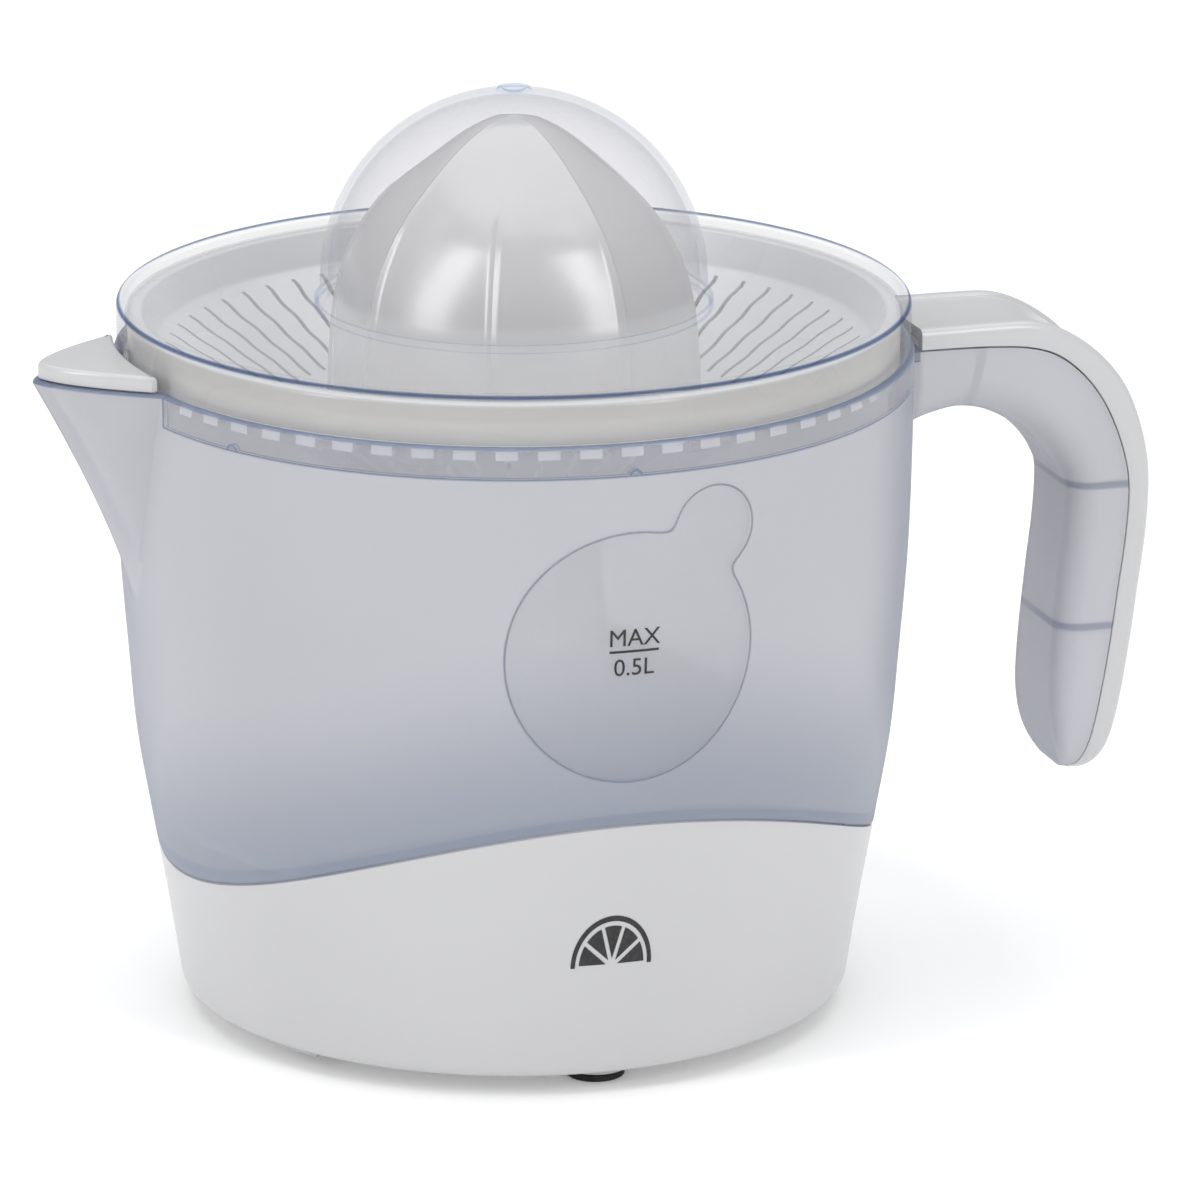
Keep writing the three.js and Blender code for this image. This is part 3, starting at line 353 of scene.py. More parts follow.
floor_mesh = bpy.data.meshes.new("floor")
FLOOR_HALF = 6
floor_mesh.from_pydata([(x * FLOOR_HALF, y * FLOOR_HALF, 0) for x, y in ((-1, -1), (1, -1), (1, 1), (-1, 1))],
                       [], [(0, 1, 2, 3)])
floor = add_object("floor", floor_mesh)


# ---------------- materials
class Nodes:
    """A small helper for building a node material."""

    def __init__(self, name):
        self.material = bpy.data.materials.new(name)
        self.material.use_nodes = True
        self.tree = self.material.node_tree
        self.tree.nodes.clear()
        self.out = self.add("ShaderNodeOutputMaterial")

    def add(self, kind, **settings):
        node = self.tree.nodes.new(kind)
        for key, value in settings.items():
            setattr(node, key, value)
        return node

    def link(self, a, b):
        self.tree.links.new(a, b)

    def put(self, socket, value):
        if hasattr(value, "is_output"):
            self.link(value, socket)
        else:
            socket.default_value = (*value, 1) if isinstance(value, tuple) else value

    def math(self, operation, *values):
        node = self.add("ShaderNodeMath", operation=operation)
        for socket, value in zip(node.inputs, values):
            self.put(socket, value)
        return node.outputs[0]

    def product(self, *values):
        return reduce(lambda a, b: self.math("MULTIPLY", a, b), values)

    def most(self, *values):
        return reduce(lambda a, b: self.math("MAXIMUM", a, b), values)

    def ramp(self, value, low, high, to_low=0.0, to_high=1.0, ease="SMOOTHSTEP"):
        node = self.add("ShaderNodeMapRange", interpolation_type=ease)
        for socket, v in zip(node.inputs[:5], (value, low, high, to_low, to_high)):
            self.put(socket, v)
        return node.outputs[0]

    def near(self, value, middle, inner, outer, peak=1.0):
        """A peak where a value is within inner of a middle, and nothing beyond outer."""
        return self.ramp(self.math("ABSOLUTE", self.math("SUBTRACT", value, middle)), inner, outer, peak, 0.0)

    def mix(self, factor, a, b):
        node = self.add("ShaderNodeMix", data_type="RGBA")
        self.put(node.inputs[0], factor)
        self.put(node.inputs[6], a)
        self.put(node.inputs[7], b)
        return node.outputs[2]

    def mix_value(self, factor, a, b):
        node = self.add("ShaderNodeMix")
        for socket, value in ((0, factor), (2, a), (3, b)):
            self.put(node.inputs[socket], value)
        return node.outputs[0]

    def coords(self):
        """Object coordinates; every piece's object stands at the frame's origin."""
        return self.add("ShaderNodeTexCoord").outputs["Object"]

    def millimetres(self):
        """X, Y and Z in millimetres about the spindle axis."""
        split = self.add("ShaderNodeSeparateXYZ")
        self.link(self.coords(), split.inputs[0])
        x = self.math("SUBTRACT", self.math("DIVIDE", split.outputs[0], MM), AXIS_X / MM)
        return x, self.math("DIVIDE", split.outputs[1], MM), self.math("DIVIDE", split.outputs[2], MM)

    def noise(self, scale, detail=2.0, stretch=(1, 1, 1)):
        mapping = self.add("ShaderNodeMapping")
        self.link(self.coords(), mapping.inputs["Vector"])
        mapping.inputs["Scale"].default_value = stretch
        noise = self.shader("ShaderNodeTexNoise", Vector=mapping.outputs[0], Scale=scale, Detail=detail)
        return noise.outputs["Fac"]

    def bump(self, height, strength, distance):
        return self.shader("ShaderNodeBump", Strength=strength, Distance=distance, Height=height).outputs[0]

    def facing(self):
        """0 where a face is seen straight on and 1 where it is seen edge on."""
        return self.shader("ShaderNodeLayerWeight", Blend=0.5).outputs["Facing"]

    def shader(self, kind, **values):
        """A node with the given values in its sockets."""
        node = self.add(kind)
        for key, value in values.items():
            self.put(node.inputs[key.replace("_", " ")], value)
        return node

    def principled(self, **values):
        return self.shader("ShaderNodeBsdfPrincipled", **values)

    def mix_shader(self, share, a, b):
        node = self.add("ShaderNodeMixShader")
        for socket, value in zip(node.inputs, (share, a.outputs[0], b.outputs[0])):
            self.put(socket, value)
        return node

    def finish(self, shader):
        """The finished material, with a shader as its surface."""
        self.link(shader.outputs[0], self.out.inputs["Surface"])
        return self.material

    def finish_clear(self, shader, colour, density, shadow):
        """The same for see-through plastic, tinted by its depth. Its shadow is not black but a tint."""
        volume = self.shader("ShaderNodeVolumeAbsorption", Color=colour, Density=density)
        self.link(volume.outputs[0], self.out.inputs["Volume"])
        path = self.add("ShaderNodeLightPath")
        clear = self.shader("ShaderNodeBsdfTransparent", Color=shadow)
        return self.finish(self.mix_shader(path.outputs["Is Shadow Ray"], shader, clear))


def scaled(colour, factor, lift=0.0):
    return tuple(c * factor + lift for c in colour)


def plastic(name, colour, roughness, grain=0.0, coat=0.0, soft=0.0, coat_roughness=0.08):
    """Moulded plastic: a slightly uneven gloss and colour, with a fine moulded grain if asked for."""
    n = Nodes(name)
    cloud = n.noise(28, 3)
    shade = n.mix(n.ramp(cloud, 0.2, 0.8), scaled(colour, 0.985), colour)
    rough = n.ramp(n.noise(40, 2), 0.1, 0.9, roughness * 0.94, roughness * 1.06)
    fine = n.math("ADD", n.noise(900 if grain < 0.3 else 2200, 2), n.product(n.noise(70, 2), 1.5))
    return n.finish(n.principled(
        Base_Color=shade, Roughness=rough, IOR=1.5, Coat_Weight=coat, Coat_Roughness=coat_roughness,
        Subsurface_Weight=soft, Subsurface_Scale=0.004,
        Normal=n.bump(fine, 0.04 + grain * 0.25, 0.0001 + grain * 0.0001)))


LID_EDGE_RADIUS, LID_EDGE_HEIGHT = 74.35, 137.3  # the cover's outer top edge
DOME_FOOT_RADIUS, KNOB_HEIGHT = 37.3, 177


def clear_plastic():
    """Thin polished plastic: see-through and a little hazy where seen edge on, with painted refraction shade
    along its edges.
    """
    n = Nodes("clear_plastic")
    x, y, z = n.millimetres()
    radius = n.math("SQRT", n.math("ADD", n.product(x, x), n.product(y, y)))
    facing = n.facing()
    # Painted refraction shade: a dark blue line along the outer top edge, a light blue line at the dome's
    # foot and a blue tint over the knob's top.
    edge = n.product(n.ramp(radius, LID_EDGE_RADIUS - 0.3, LID_EDGE_RADIUS + 0.3),
                     n.ramp(z, LID_EDGE_HEIGHT - 0.4, LID_EDGE_HEIGHT + 0.2))
    foot = n.product(n.near(radius, DOME_FOOT_RADIUS, 0.2, 0.6), n.ramp(z, 139, 140.5, 1.0, 0.0))
    # Painted shade: the skirt is tinted grey in vertical streaks and darker on its lowest part, and the
    # shoulder above it a paler grey.
    skirt = n.product(n.ramp(radius, 73, 73.2), n.ramp(z, 136, 137, 1.0, 0.0))
    shoulder = n.product(n.ramp(radius, 72.2, 73.2), n.ramp(z, 136, 137))
    streak_shade = n.ramp(n.noise(60, 4, (1, 1, 7)), 0.45, 0.7, 0.0, 0.6)
    grey = n.mix(streak_shade, (0.905, 0.90, 0.89), (0.935, 0.93, 0.92))
    grey = n.mix(n.ramp(z, 132.2, 133.2), grey, (0.885, 0.88, 0.87))
    dome = n.mix(n.ramp(facing, 0.55, 1.0), (0.952, 0.951, 0.955), (0.935, 0.937, 0.945))
    tint = n.mix(n.ramp(z, 139, 141), (0.993, 0.993, 0.993), dome)
    for place, colour in ((shoulder, (0.94, 0.94, 0.95)), (foot, (0.72, 0.78, 0.88)), (skirt, grey),
                          (n.ramp(z, KNOB_HEIGHT, KNOB_HEIGHT + 0.4), (0.82, 0.87, 0.94)),
                          (edge, (0.20, 0.28, 0.45))):
        tint = n.mix(place, tint, colour)
    clear = n.shader("ShaderNodeBsdfTransparent", Color=tint)
    # Painted shade: the haze is painted dark blue along the outer edge, and its share is made stronger there.
    shine = n.principled(Base_Color=n.mix(edge, (0.62, 0.615, 0.62), (0.05, 0.08, 0.17)),
                         Roughness=n.ramp(n.noise(45, 3), 0.35, 0.7, 0.03, 0.07), IOR=1.5)
    share = n.most(n.ramp(facing, 0.35, 1.0, 0.04, 0.22), n.product(edge, 0.4))
    body = n.mix_shader(share, clear, shine)
    return n.finish_clear(body, (0.60, 0.70, 0.90), 9, (0.97, 0.972, 0.98))


WINDOW_HEIGHT, WINDOW_RADIUS = 87.7, 24.0
LOBE_ALONG, LOBE_HEIGHT, LOBE_RADIUS = 15.7, 111.0, 8.0
WINDOW_BLEND = 5.0
BUMPS_ALONG, BUMP_RADIUS = (-78.5, 0.0, 78.5), 1.05  # on the clear band's foot, measured along the wall
BAND_END_Y, BAND_END_X = 18.5, -60  # where the clear band stops at the spout
HANDLE_ROOT_X = 76.5
WEB_HEIGHTS = (94.4, 66.2)  # cross walls in the upright of the handle
WALL_MEAN_RADIUS = 75.0
SEAM_BEND = (SEAM_HIGH - SEAM_LOW) / wall_radius(SEAM_LOW) ** 2


def window_distance(u, z):
    """Signed distance from the window's outline; u runs along the wall from the front, towards the handle."""
    a = hypot(u, z - WINDOW_HEIGHT) - WINDOW_RADIUS
    b = hypot(u - LOBE_ALONG, z - LOBE_HEIGHT) - LOBE_RADIUS
    h = max(WINDOW_BLEND - abs(a - b), 0) / WINDOW_BLEND
    return min(a, b) - h ** 3 * WINDOW_BLEND / 6


def frosted_plastic():
    """The jug: frosted, but polished in the window and in the band round the strainer, with painted dark blue
    shade lines along its edges.
    """
    n = Nodes("frosted_plastic")
    x, y, z = n.millimetres()
    along = n.product(n.math("ARCTAN2", x, n.product(y, -1)), WALL_MEAN_RADIUS)

    def circle(u, height, radius):
        du, dz = n.math("SUBTRACT", along, u), n.math("SUBTRACT", z, height)
        return n.math("SUBTRACT", n.math("SQRT", n.math("ADD", n.product(du, du), n.product(dz, dz))), radius)

    # Where things are on the jug, each from 0 to 1.
    window = n.math("SMOOTH_MIN", circle(0, WINDOW_HEIGHT, WINDOW_RADIUS),
                    circle(LOBE_ALONG, LOBE_HEIGHT, LOBE_RADIUS), WINDOW_BLEND)
    in_window = n.ramp(window, -0.2, 0.2, 1.0, 0.0)
    side = n.math("ABSOLUTE", y)
    off_spout = n.most(n.ramp(side, BAND_END_Y - 0.3, BAND_END_Y), n.ramp(x, BAND_END_X, BAND_END_X + 1))
    on_jug = n.ramp(x, HANDLE_ROOT_X - 0.3, HANDLE_ROOT_X + 0.3, 1.0, 0.0)
    band = n.product(n.ramp(z, CLEAR_BAND - 0.1, CLEAR_BAND + 0.1), off_spout, on_jug)
    polished = n.most(in_window, band)
    seam = n.math("SUBTRACT", SEAM_HIGH, n.product(x, x, SEAM_BEND))
    over_seam = n.math("SUBTRACT", z, seam)

    # The polished or frosted skin.
    cloud = n.ramp(n.noise(30, 3), 0.3, 0.7, 0.36, 0.44)
    grain = n.product(n.noise(3000, 2), n.ramp(polished, 0, 1, 1.0, 0.25, "LINEAR"))
    rough = n.mix_value(polished, cloud, 0.09)
    glass = n.principled(Base_Color=(0.94, 0.94, 0.96), Roughness=rough, IOR=1.42,
                         Transmission_Weight=1.0, Normal=n.bump(grain, 0.06, 0.0001))

    # Painted shade: dark blue lines at the rim, along the band's foot, end and bumps, round the window, and
    # across the handle at its cross walls.
    above_foot = n.ramp(z, CLEAR_BAND - 0.2, CLEAR_BAND)
    band_foot = n.product(off_spout, n.near(z, CLEAR_BAND, 0.1, 0.3))
    band_end = n.product(n.near(side, BAND_END_Y, 0.2, 0.4), n.ramp(x, BAND_END_X, BAND_END_X + 1, 1.0, 0.0),
                         above_foot)
    bumps = n.most(*[n.near(circle(u, CLEAR_BAND, BUMP_RADIUS), 0, 0.15, 0.35) for u in BUMPS_ALONG])
    line = n.most(n.ramp(z, RIM - 0.7, RIM - 0.3), n.product(above_foot, bumps), band_foot, band_end,
                  n.near(window, 0, 0.1, 0.3, 0.7))
    web_shade = n.most(*[n.near(z, height, 0.4, 1.0, 0.55) for height in WEB_HEIGHTS])
    line = n.most(n.product(on_jug, line), n.product(n.math("SUBTRACT", 1, on_jug), web_shade))

    # The milky share, with painted shade: darker where the wall is seen edge on, low down and along the foot.
    lip = n.product(n.ramp(over_seam, LIP_HEIGHT - 0.2, LIP_HEIGHT + 0.2, 1.0, 0.0), on_jug)
    low_shade = n.product(n.ramp(over_seam, 2, 40, 1.0, 0.0), on_jug, 0.75)
    depth = n.most(n.ramp(n.facing(), 0.55, 1.0), low_shade, lip)
    # Painted light: the milky colour is lighter on the handle and lighter still in the window than on the
    # rest of the jug.
    bright = n.mix(in_window, n.mix(on_jug, (0.64, 0.64, 0.67), (0.585, 0.585, 0.615)),
                   (0.66, 0.66, 0.68))
    milky = n.mix(depth, bright, (0.29, 0.325, 0.40))
    haze = n.principled(Base_Color=n.mix(line, milky, (0.16, 0.21, 0.32)), Roughness=0.5)
    share = n.mix_value(in_window, n.mix_value(band, 0.62, 0.28), 0.42)
    share = n.most(share, n.product(line, 0.7))
    body = n.mix_shader(share, glass, haze)
    return n.finish_clear(body, (0.55, 0.60, 0.74), 30, (0.9, 0.91, 0.94))


def rubber(name, colour):
    n = Nodes(name)
    dust = n.ramp(n.noise(240, 5), 0.5, 0.75)
    shade = n.mix(dust, colour, scaled(colour, 1.6, 0.02))
    rough = n.ramp(dust, 0, 1, 0.62, 0.85)
    return n.finish(n.principled(Base_Color=shade, Roughness=rough, Specular_IOR_Level=0.35,
                                 Normal=n.bump(n.noise(1800, 2), 0.3, 0.0002)))


def metal(name, colour, roughness, scale=600, stretch=(1, 1, 0.05), spots=0.0):
    """Metal with fine drawn or turned lines, and small pores if asked for."""
    n = Nodes(name)
    lines = n.noise(scale, 3, stretch)
    pores = n.ramp(n.noise(1400, 3), 0.58, 0.66, 0.0, spots)
    shade = n.mix(n.most(n.ramp(lines, 0.3, 0.7, 0.0, 0.35), pores), colour,
                  scaled(colour, 0.6))
    rough = n.ramp(lines, 0.3, 0.7, roughness * 0.8, roughness * 1.3)
    return n.finish(n.principled(Base_Color=shade, Metallic=1.0, Roughness=rough,
                                 Normal=n.bump(lines, 0.12, 0.0002)))


def layered(name, colour, dark, pitch, metallic, roughness, axis=2):
    """Stacked sheets or wound wire: fine even lines across one axis, with a bump."""
    n = Nodes(name)
    split = n.add("ShaderNodeSeparateXYZ")
    n.link(n.coords(), split.inputs[0])
    wave = n.math("SINE", n.product(split.outputs[axis], 2 * pi / (pitch * MM)))
    uneven = n.product(n.math("SUBTRACT", n.noise(400, 3), 0.5), 0.8)
    line = n.ramp(n.math("ADD", wave, uneven), -0.9, 0.2)
    shade = n.mix(line, dark, colour)
    rough = n.ramp(line, 0, 1, roughness * 1.5, roughness)
    return n.finish(n.principled(Base_Color=shade, Metallic=metallic, Roughness=rough,
                                 Normal=n.bump(line, 0.5, 0.0002)))


def ink(name, colour):
    n = Nodes(name)
    shade = n.mix(n.ramp(n.noise(900, 3), 0.4, 0.7), colour, scaled(colour, 1.5, 0.01))
    return n.finish(n.principled(Base_Color=shade, Roughness=0.45))


M = {
    "clear": clear_plastic(),
    "frosted": frosted_plastic(),
    "base": plastic("white_satin_plastic", (0.535, 0.535, 0.54), 0.3, grain=0.12, coat=0.15),
    "trim": plastic("white_trim_plastic", (0.55, 0.552, 0.56), 0.26, grain=0.05, coat=0.2),
    "gloss": plastic("white_gloss_plastic", (0.60, 0.595, 0.59), 0.22, coat=1.0, coat_roughness=0.17),
    "sieve": plastic("white_sieve_plastic", (0.70, 0.70, 0.70), 0.28, coat=0.3),
    "nylon": plastic("natural_nylon", (0.62, 0.59, 0.5), 0.42, grain=0.2, soft=0.15),
    "switch": plastic("black_phenolic", (0.03, 0.03, 0.034), 0.45, grain=0.3),
    "black_rubber": rubber("black_rubber", (0.012, 0.012, 0.013)),
    "grey_rubber": rubber("grey_rubber", (0.10, 0.10, 0.11)),
    "steel": metal("bright_steel", (0.56, 0.57, 0.58), 0.28),
    "bronze": metal("sintered_bronze", (0.42, 0.27, 0.12), 0.42, spots=0.7),
    "iron": layered("laminated_iron", (0.22, 0.23, 0.25), (0.05, 0.045, 0.04), 0.5, 0.85, 0.42),
    "copper": layered("copper_winding", (0.50, 0.17, 0.06), (0.12, 0.035, 0.015), 0.35, 0.75, 0.3, axis=0),
    "ferrite": metal("sintered_ferrite", (0.09, 0.09, 0.10), 0.6, scale=300, stretch=(1, 1, 1), spots=0.5),
    "ink": ink("black_print", (0.008, 0.008, 0.009)),
}
paper = Nodes("pale_floor")
pale = paper.mix(paper.ramp(paper.noise(3, 2), 0.3, 0.7), (0.93, 0.93, 0.93), (0.945, 0.945, 0.945))
floor.data.materials.append(paper.finish(paper.principled(
    Base_Color=pale, Roughness=0.7, Specular_IOR_Level=0.1, Emission_Color=(1, 1, 1),
    Emission_Strength=0.16)))


# ---------------- shell of jug and base
SPOUT_COLUMNS = 25
AROUND_COLUMNS = 168
SPOUT_INSET_SHARE = 1.3  # how far the reach goes in for each mm of inset


def spout_size(z):
    """Reach and half width of the spout at a height."""
    t = min(max((z - SPOUT_ROOT) / (RIM - SPOUT_ROOT), 0), 1.1)
    return SPOUT_THROW * t ** 1.35, max(SPOUT_HALF_WIDTH * t ** 0.8, 2.5)


def spout_point(wall, reach, half, s):
    """A point of the spout's outline, with s from -1 on one side to 1 on the other."""
    y = -half * s
    return -(sqrt(wall * wall - y * y) + reach * (1 - abs(s) ** 1.5)), y


def shell_column(j, z, inset):
    """Where column j of the wall stands at a height, set in from the outer face by an inset."""
    reach, half = spout_size(z)
    wall = wall_radius(min(z, RIM)) - inset
    half = max(half - inset, 1.5)
    reach = max(reach - SPOUT_INSET_SHARE * inset, 0)
    if j < SPOUT_COLUMNS:
        return spout_point(wall, reach, half, -1 + 2 * j / (SPOUT_COLUMNS - 1))
    edge = asin(half / wall)
    part = (j - SPOUT_COLUMNS + 1) / (AROUND_COLUMNS - SPOUT_COLUMNS + 1)
    a = pi + edge + part * (2 * pi - 2 * edge)
    return around(wall, a)


def plain_column(j, radius):
    """A point on a plain circle, at the same bearing as column j has low on the wall."""
    x, y = shell_column(j, 60, 0)
    r = hypot(x, y)
    return x / r * radius, y / r * radius


def jug_ring(j):
    """The jug's section on column j, as one closed loop of points."""
    seam = seam_height(shell_column(j, SPIGOT_LEVEL, 0)[0])
    loop = []

    def wall(z, inset):
        loop.append((*shell_column(j, z, inset), z))

    def circle(r, z):
        loop.append((*plain_column(j, r), z))

    wall(seam, 0.5)
    wall(seam + 0.15, 0.15)
    for k in range(65):
        wall(lerp(seam + 0.5, RIM - 0.5, k / 64), 0)
    for down, inset in ((0.15, 0.15), (0, 0.5), (0, BAND_WALL - 0.4), (0.15, BAND_WALL - 0.1),
                        (0.5, BAND_WALL)):
        wall(RIM - down, inset)
    for k in range(7):
        wall(lerp(RIM - 0.6, CLEAR_BAND + 0.1, k / 6), BAND_WALL)
    wall(CLEAR_BAND - 0.1, JUG_WALL)
    inner = wall_radius(SPIGOT_LEVEL) - JUG_WALL
    step = max(seam + LIP_HEIGHT, floor_top(inner) + 0.4)
    for k in range(41):
        wall(lerp(CLEAR_BAND - 0.4, step + 0.4, k / 40), JUG_WALL)
    lip = wall_radius(SPIGOT_LEVEL) - LIP_WALL
    shelf = smooth(0, 1.5, seam + LIP_HEIGHT - floor_top(inner))
    low_r = lerp(inner - 0.6, lip, shelf)
    circle(lerp(inner - 0.3, lip + 0.4, shelf), step)
    circle(low_r, step - 0.4 * shelf - 0.1)
    circle(low_r - 0.1, floor_top(low_r) + 0.5)
    circle(low_r - 0.6, floor_top(low_r - 0.6) + 0.05)
    for k in range(1, 13):
        r = lerp(low_r - 1, COLUMN_RADIUS + 4, k / 12)
        circle(r, floor_top(r))
    for r, up in ((2.4, 0.3), (1.5, 1.2), (0.7, 2.8), (0.3, 5), (0.1, 9)):
        circle(COLUMN_RADIUS + r, floor_top(COLUMN_RADIUS + r) + up)
    for z in (88, 93, 98, 103, COLUMN_TOP - 0.9):
        circle(COLUMN_RADIUS - 0.5 * smooth(80, 106, z), z)
    for r, z in ((16.1, COLUMN_TOP - 0.4), (15.6, COLUMN_TOP), (9.4, COLUMN_TOP), (8.8, COLUMN_TOP + 0.6),
                 (8.8, COLUMN_LIP_TOP - 0.6), (8.4, COLUMN_LIP_TOP), (7.1, COLUMN_LIP_TOP),
                 (SPINDLE_HOLE, COLUMN_LIP_TOP - 0.5)):
        circle(r, z)
    ceiling = COLUMN_TOP - FLOOR_THICKNESS
    for r, z in ((SPINDLE_HOLE, ceiling + 0.4), (SPINDLE_HOLE + 0.4, ceiling), (COLUMN_BORE - 0.6, ceiling)):
        circle(r, z)
    for z in (ceiling - 0.6, 98, 90, 82, 76, floor_under(COLUMN_BORE) + 0.5):
        circle(COLUMN_BORE, z)
    outer = wall_radius(SPIGOT_LEVEL) - SPIGOT_INSET
    for k in range(1, 12):
        r = lerp(COLUMN_BORE + 0.5, outer - 0.6, k / 11)
        circle(r, floor_under(r))
    circle(outer, floor_under(outer) + (0.3 if seam > floor_under(outer) else -0.3))
    loop.append((*shell_column(j, seam, SPIGOT_INSET), lerp(floor_under(outer), seam, 0.5)))
    wall(seam, SPIGOT_INSET)
    return loop


# The handle in side view, as in the CAD source: [seam, finger side, outer face], each (u, z).
HANDLE_STATIONS = [
    ((73.6, 124.1), (73.6, 107), (73.6, 128.4)), ((78.2, 124.1), (78.2, 109.7), (78.2, 128.4)),
    ((85, 124), (84.6, 111.4), (85, 128.4)), ((92.2, 123.7), (89.8, 110.9), (92.6, 128.4)),
    ((99.4, 122.9), (94.6, 108.9), (100.4, 128)), ((105, 120.9), (98.6, 106.4), (107, 125.5)),
    ((110.2, 116.7), (102, 103.6), (113.4, 121)), ((114.6, 110.8), (104.9, 100.6), (118.8, 114.7)),
    ((118.1, 102.9), (107.2, 97.2), (122.4, 106.6)), ((119.9, 94.6), (108.6, 93.2), (124.4, 97)),
    ((119.5, 84.7), (108.3, 84), (124.2, 85.6)), ((118, 73), (107.1, 72.6), (122.7, 73.2)),
    ((116.4, 60.8), (106.1, 61), (121, 60.4)), ((114.7, 50.9), (105.8, 51.4), (119.2, 49.8)),
    ((113.2, 43.4), (106.5, 44.4), (117.2, 42)), ((111.9, 38.7), (107.9, 39.5), (114.8, 37.7)),
    ((110.7, 35.9), (109.5, 36.1), (112, 35.5)),
]
STATION_STEPS = 6
handle_lines = [catmull([s[k] for s in HANDLE_STATIONS], STATION_STEPS) for k in range(3)]
HANDLE_HALF, HANDLE_TOP_HALF, HANDLE_WALL, HANDLE_CORNER = 13.0, 14.2, 2.0, 8.5
HANDLE_END = 16
TIP_START, TIP_LENGTH = 13, 3.3  # the last stations narrow along a quarter ellipse
HANDLE_CELLS = [(0.9, 2.5), (2.8, 8.9), (9.1, 11.5), (11.7, 15.0)]


def handle_at(place):
    """Seam, finger and outer points and the half width at a fractional place along the stations."""
    t = min(max(place, 0), len(HANDLE_STATIONS) - 1) * STATION_STEPS
    i = min(int(t), len(handle_lines[0]) - 2)
    seam, finger, outer = (tuple(lerp(a, b, t - i) for a, b in zip(line[i], line[i + 1]))
                           for line in handle_lines)
    tip = sqrt(1 - (max(place - TIP_START, 0) / TIP_LENGTH) ** 2)
    return seam, finger, outer, lerp(HANDLE_TOP_HALF, HANDLE_HALF, min(place / 8, 1)) * tip


def handle_ring(a, b, outline):
    """Places an outline of (y, depth) in the plane that runs from a towards b."""
    depth = dist(a, b)
    n = ((b[0] - a[0]) / depth, (b[1] - a[1]) / depth)
    return [(a[0] + n[0] * s, y, a[1] + n[1] * s) for y, s in outline(depth)]


def channel_outline(half, inset, start):
    """The handle channel's round-bottomed section, set in by an inset."""
    def outline(depth):
        stop, w = depth - inset, half - inset
        corner = max(min(HANDLE_CORNER - inset, 0.8 * stop, w - 1), 0.3)
        return fillet([(-w, start), (-w, stop, corner), (w, stop, corner), (w, start)], 8)
    return outline


def places(a, b, step):
    count = max(int(round((b - a) / step)), 1)
    return [lerp(a, b, k / count) for k in range(count + 1)]


def channel(name, a, b, inset, start, step):
    """The handle's channel, or a cell inside it, between two places along the stations."""
    rings = []
    for place in places(a, b, step):
        seam, finger, _, half = handle_at(place)
        rings.append(handle_ring(seam, finger, channel_outline(half, inset, start)))
    return loft(name, rings)


jug = loft("jug", [jug_ring(j) for j in range(AROUND_COLUMNS)], closed=True)
handle = channel("handle", 0.02, HANDLE_END, 0, 0, 0.2)
for a, b in HANDLE_CELLS:
    handle = boolean(handle, channel("cell", a, b, HANDLE_WALL, -3, 0.4), "DIFFERENCE")
jug = boolean(jug, handle, "UNION")
tidy(jug, 30)
piece(jug, "jug", "frosted_jug", M["frosted"], "jug_body")


# ---------------- handle cover
def cover_outline(half, recess):
    """The strip's section: a channel with a shallow recess along its top."""
    def outline(depth):
        edge, inner, ridge = 1.3, half - 2.2, half - 2.6
        low, under = depth - recess, max(depth - 2.4, 0.6)
        return fillet([
            (-half, 0.3, 0.2), (-half, depth, edge), (-ridge, depth, 0.35), (-ridge + 0.3, low, 0.3),
            (ridge - 0.3, low, 0.3), (ridge, depth, 0.35), (half, depth, edge), (half, 0.3, 0.2),
            (inner, 0.3, 0.2), (inner, under, 0.4), (-inner, under, 0.4), (-inner, 0.3, 0.2),
        ], 4)
    return outline


cover_rings = []
for place in places(0.75, HANDLE_END, 0.15):
    seam, _, outer, half = handle_at(place)
    recess = 0.05 + 0.75 * smooth(0.7, 1.1, place) * (1 - smooth(5.6, 7.2, place))
    cover_rings.append(handle_ring(seam, outer, cover_outline(half, recess)))
rim_space = bar("rim_space", (0, 0), 0, wall_radius(RIM) + 0.4, 100, 140, 192)
handle_cover = boolean(loft("handle_strip", cover_rings), rim_space, "DIFFERENCE")
tidy(handle_cover, 30)
piece(handle_cover, "jug", "white_satin", M["trim"], "handle_cover")


# ---------------- spout cover
def offset_outline(points, inset):
    """A plan outline moved inwards by a distance; the outline runs anticlockwise."""
    out, n = [], len(points)
    for i in range(n):
        a, b, c = (np.array(points[k % n]) for k in (i - 1, i, i + 1))
        u, v = (b - a) / max(np.linalg.norm(b - a), 1e-9), (c - b) / max(np.linalg.norm(c - b), 1e-9)
        normal = np.array([-(u + v)[1], (u + v)[0]])
        normal /= max(np.linalg.norm(normal), 1e-9)
        stretch = 1 / max(float(normal @ np.array([-v[1], v[0]])), 0.5)
        out.append(tuple(b + normal * inset * stretch))
    return out


def plate(name, outline, layers, caps=True):
    """A plate with the given (inset, height) layers from bottom to top."""
    rings = [[(x, y, z) for x, y in offset_outline(outline, inset)] for inset, z in layers]
    return loft(name, rings, caps=caps)


# The cover's plan follows the spout, a little inside its wall, and ends at the jug's round rim.
NOSE_INSET = 0.6
rim_reach, rim_half = spout_size(RIM)
nose = [spout_point(wall_radius(RIM) - NOSE_INSET, rim_reach - SPOUT_INSET_SHARE * NOSE_INSET,
                    rim_half - NOSE_INSET, 2 * k / 60 - 1) for k in range(61)]
inner_edge = wall_radius(RIM) + 0.1
nose = [p for p in nose if hypot(*p) > inner_edge + 0.3]
end_angle = asin(nose[0][1] / inner_edge)
arc = []
for k in range(len(nose)):
    a = pi + end_angle - 2 * end_angle * k / (len(nose) - 1)
    arc.append(around(inner_edge, a))
spout_cover = plate("spout_lid", [*nose, *arc], [(inset, RIM + up) for inset, up in (
    (0.3, 0.3), (0.08, 0.42), (0.0, 0.75), (0.0, 2.5), (0.08, 2.8), (0.28, 3.1), (0.6, 3.27), (0.9, 3.3))],
    caps="paired")
tidy(spout_cover, 30)
piece(spout_cover, "jug", "white_satin", M["trim"], "spout_cover")


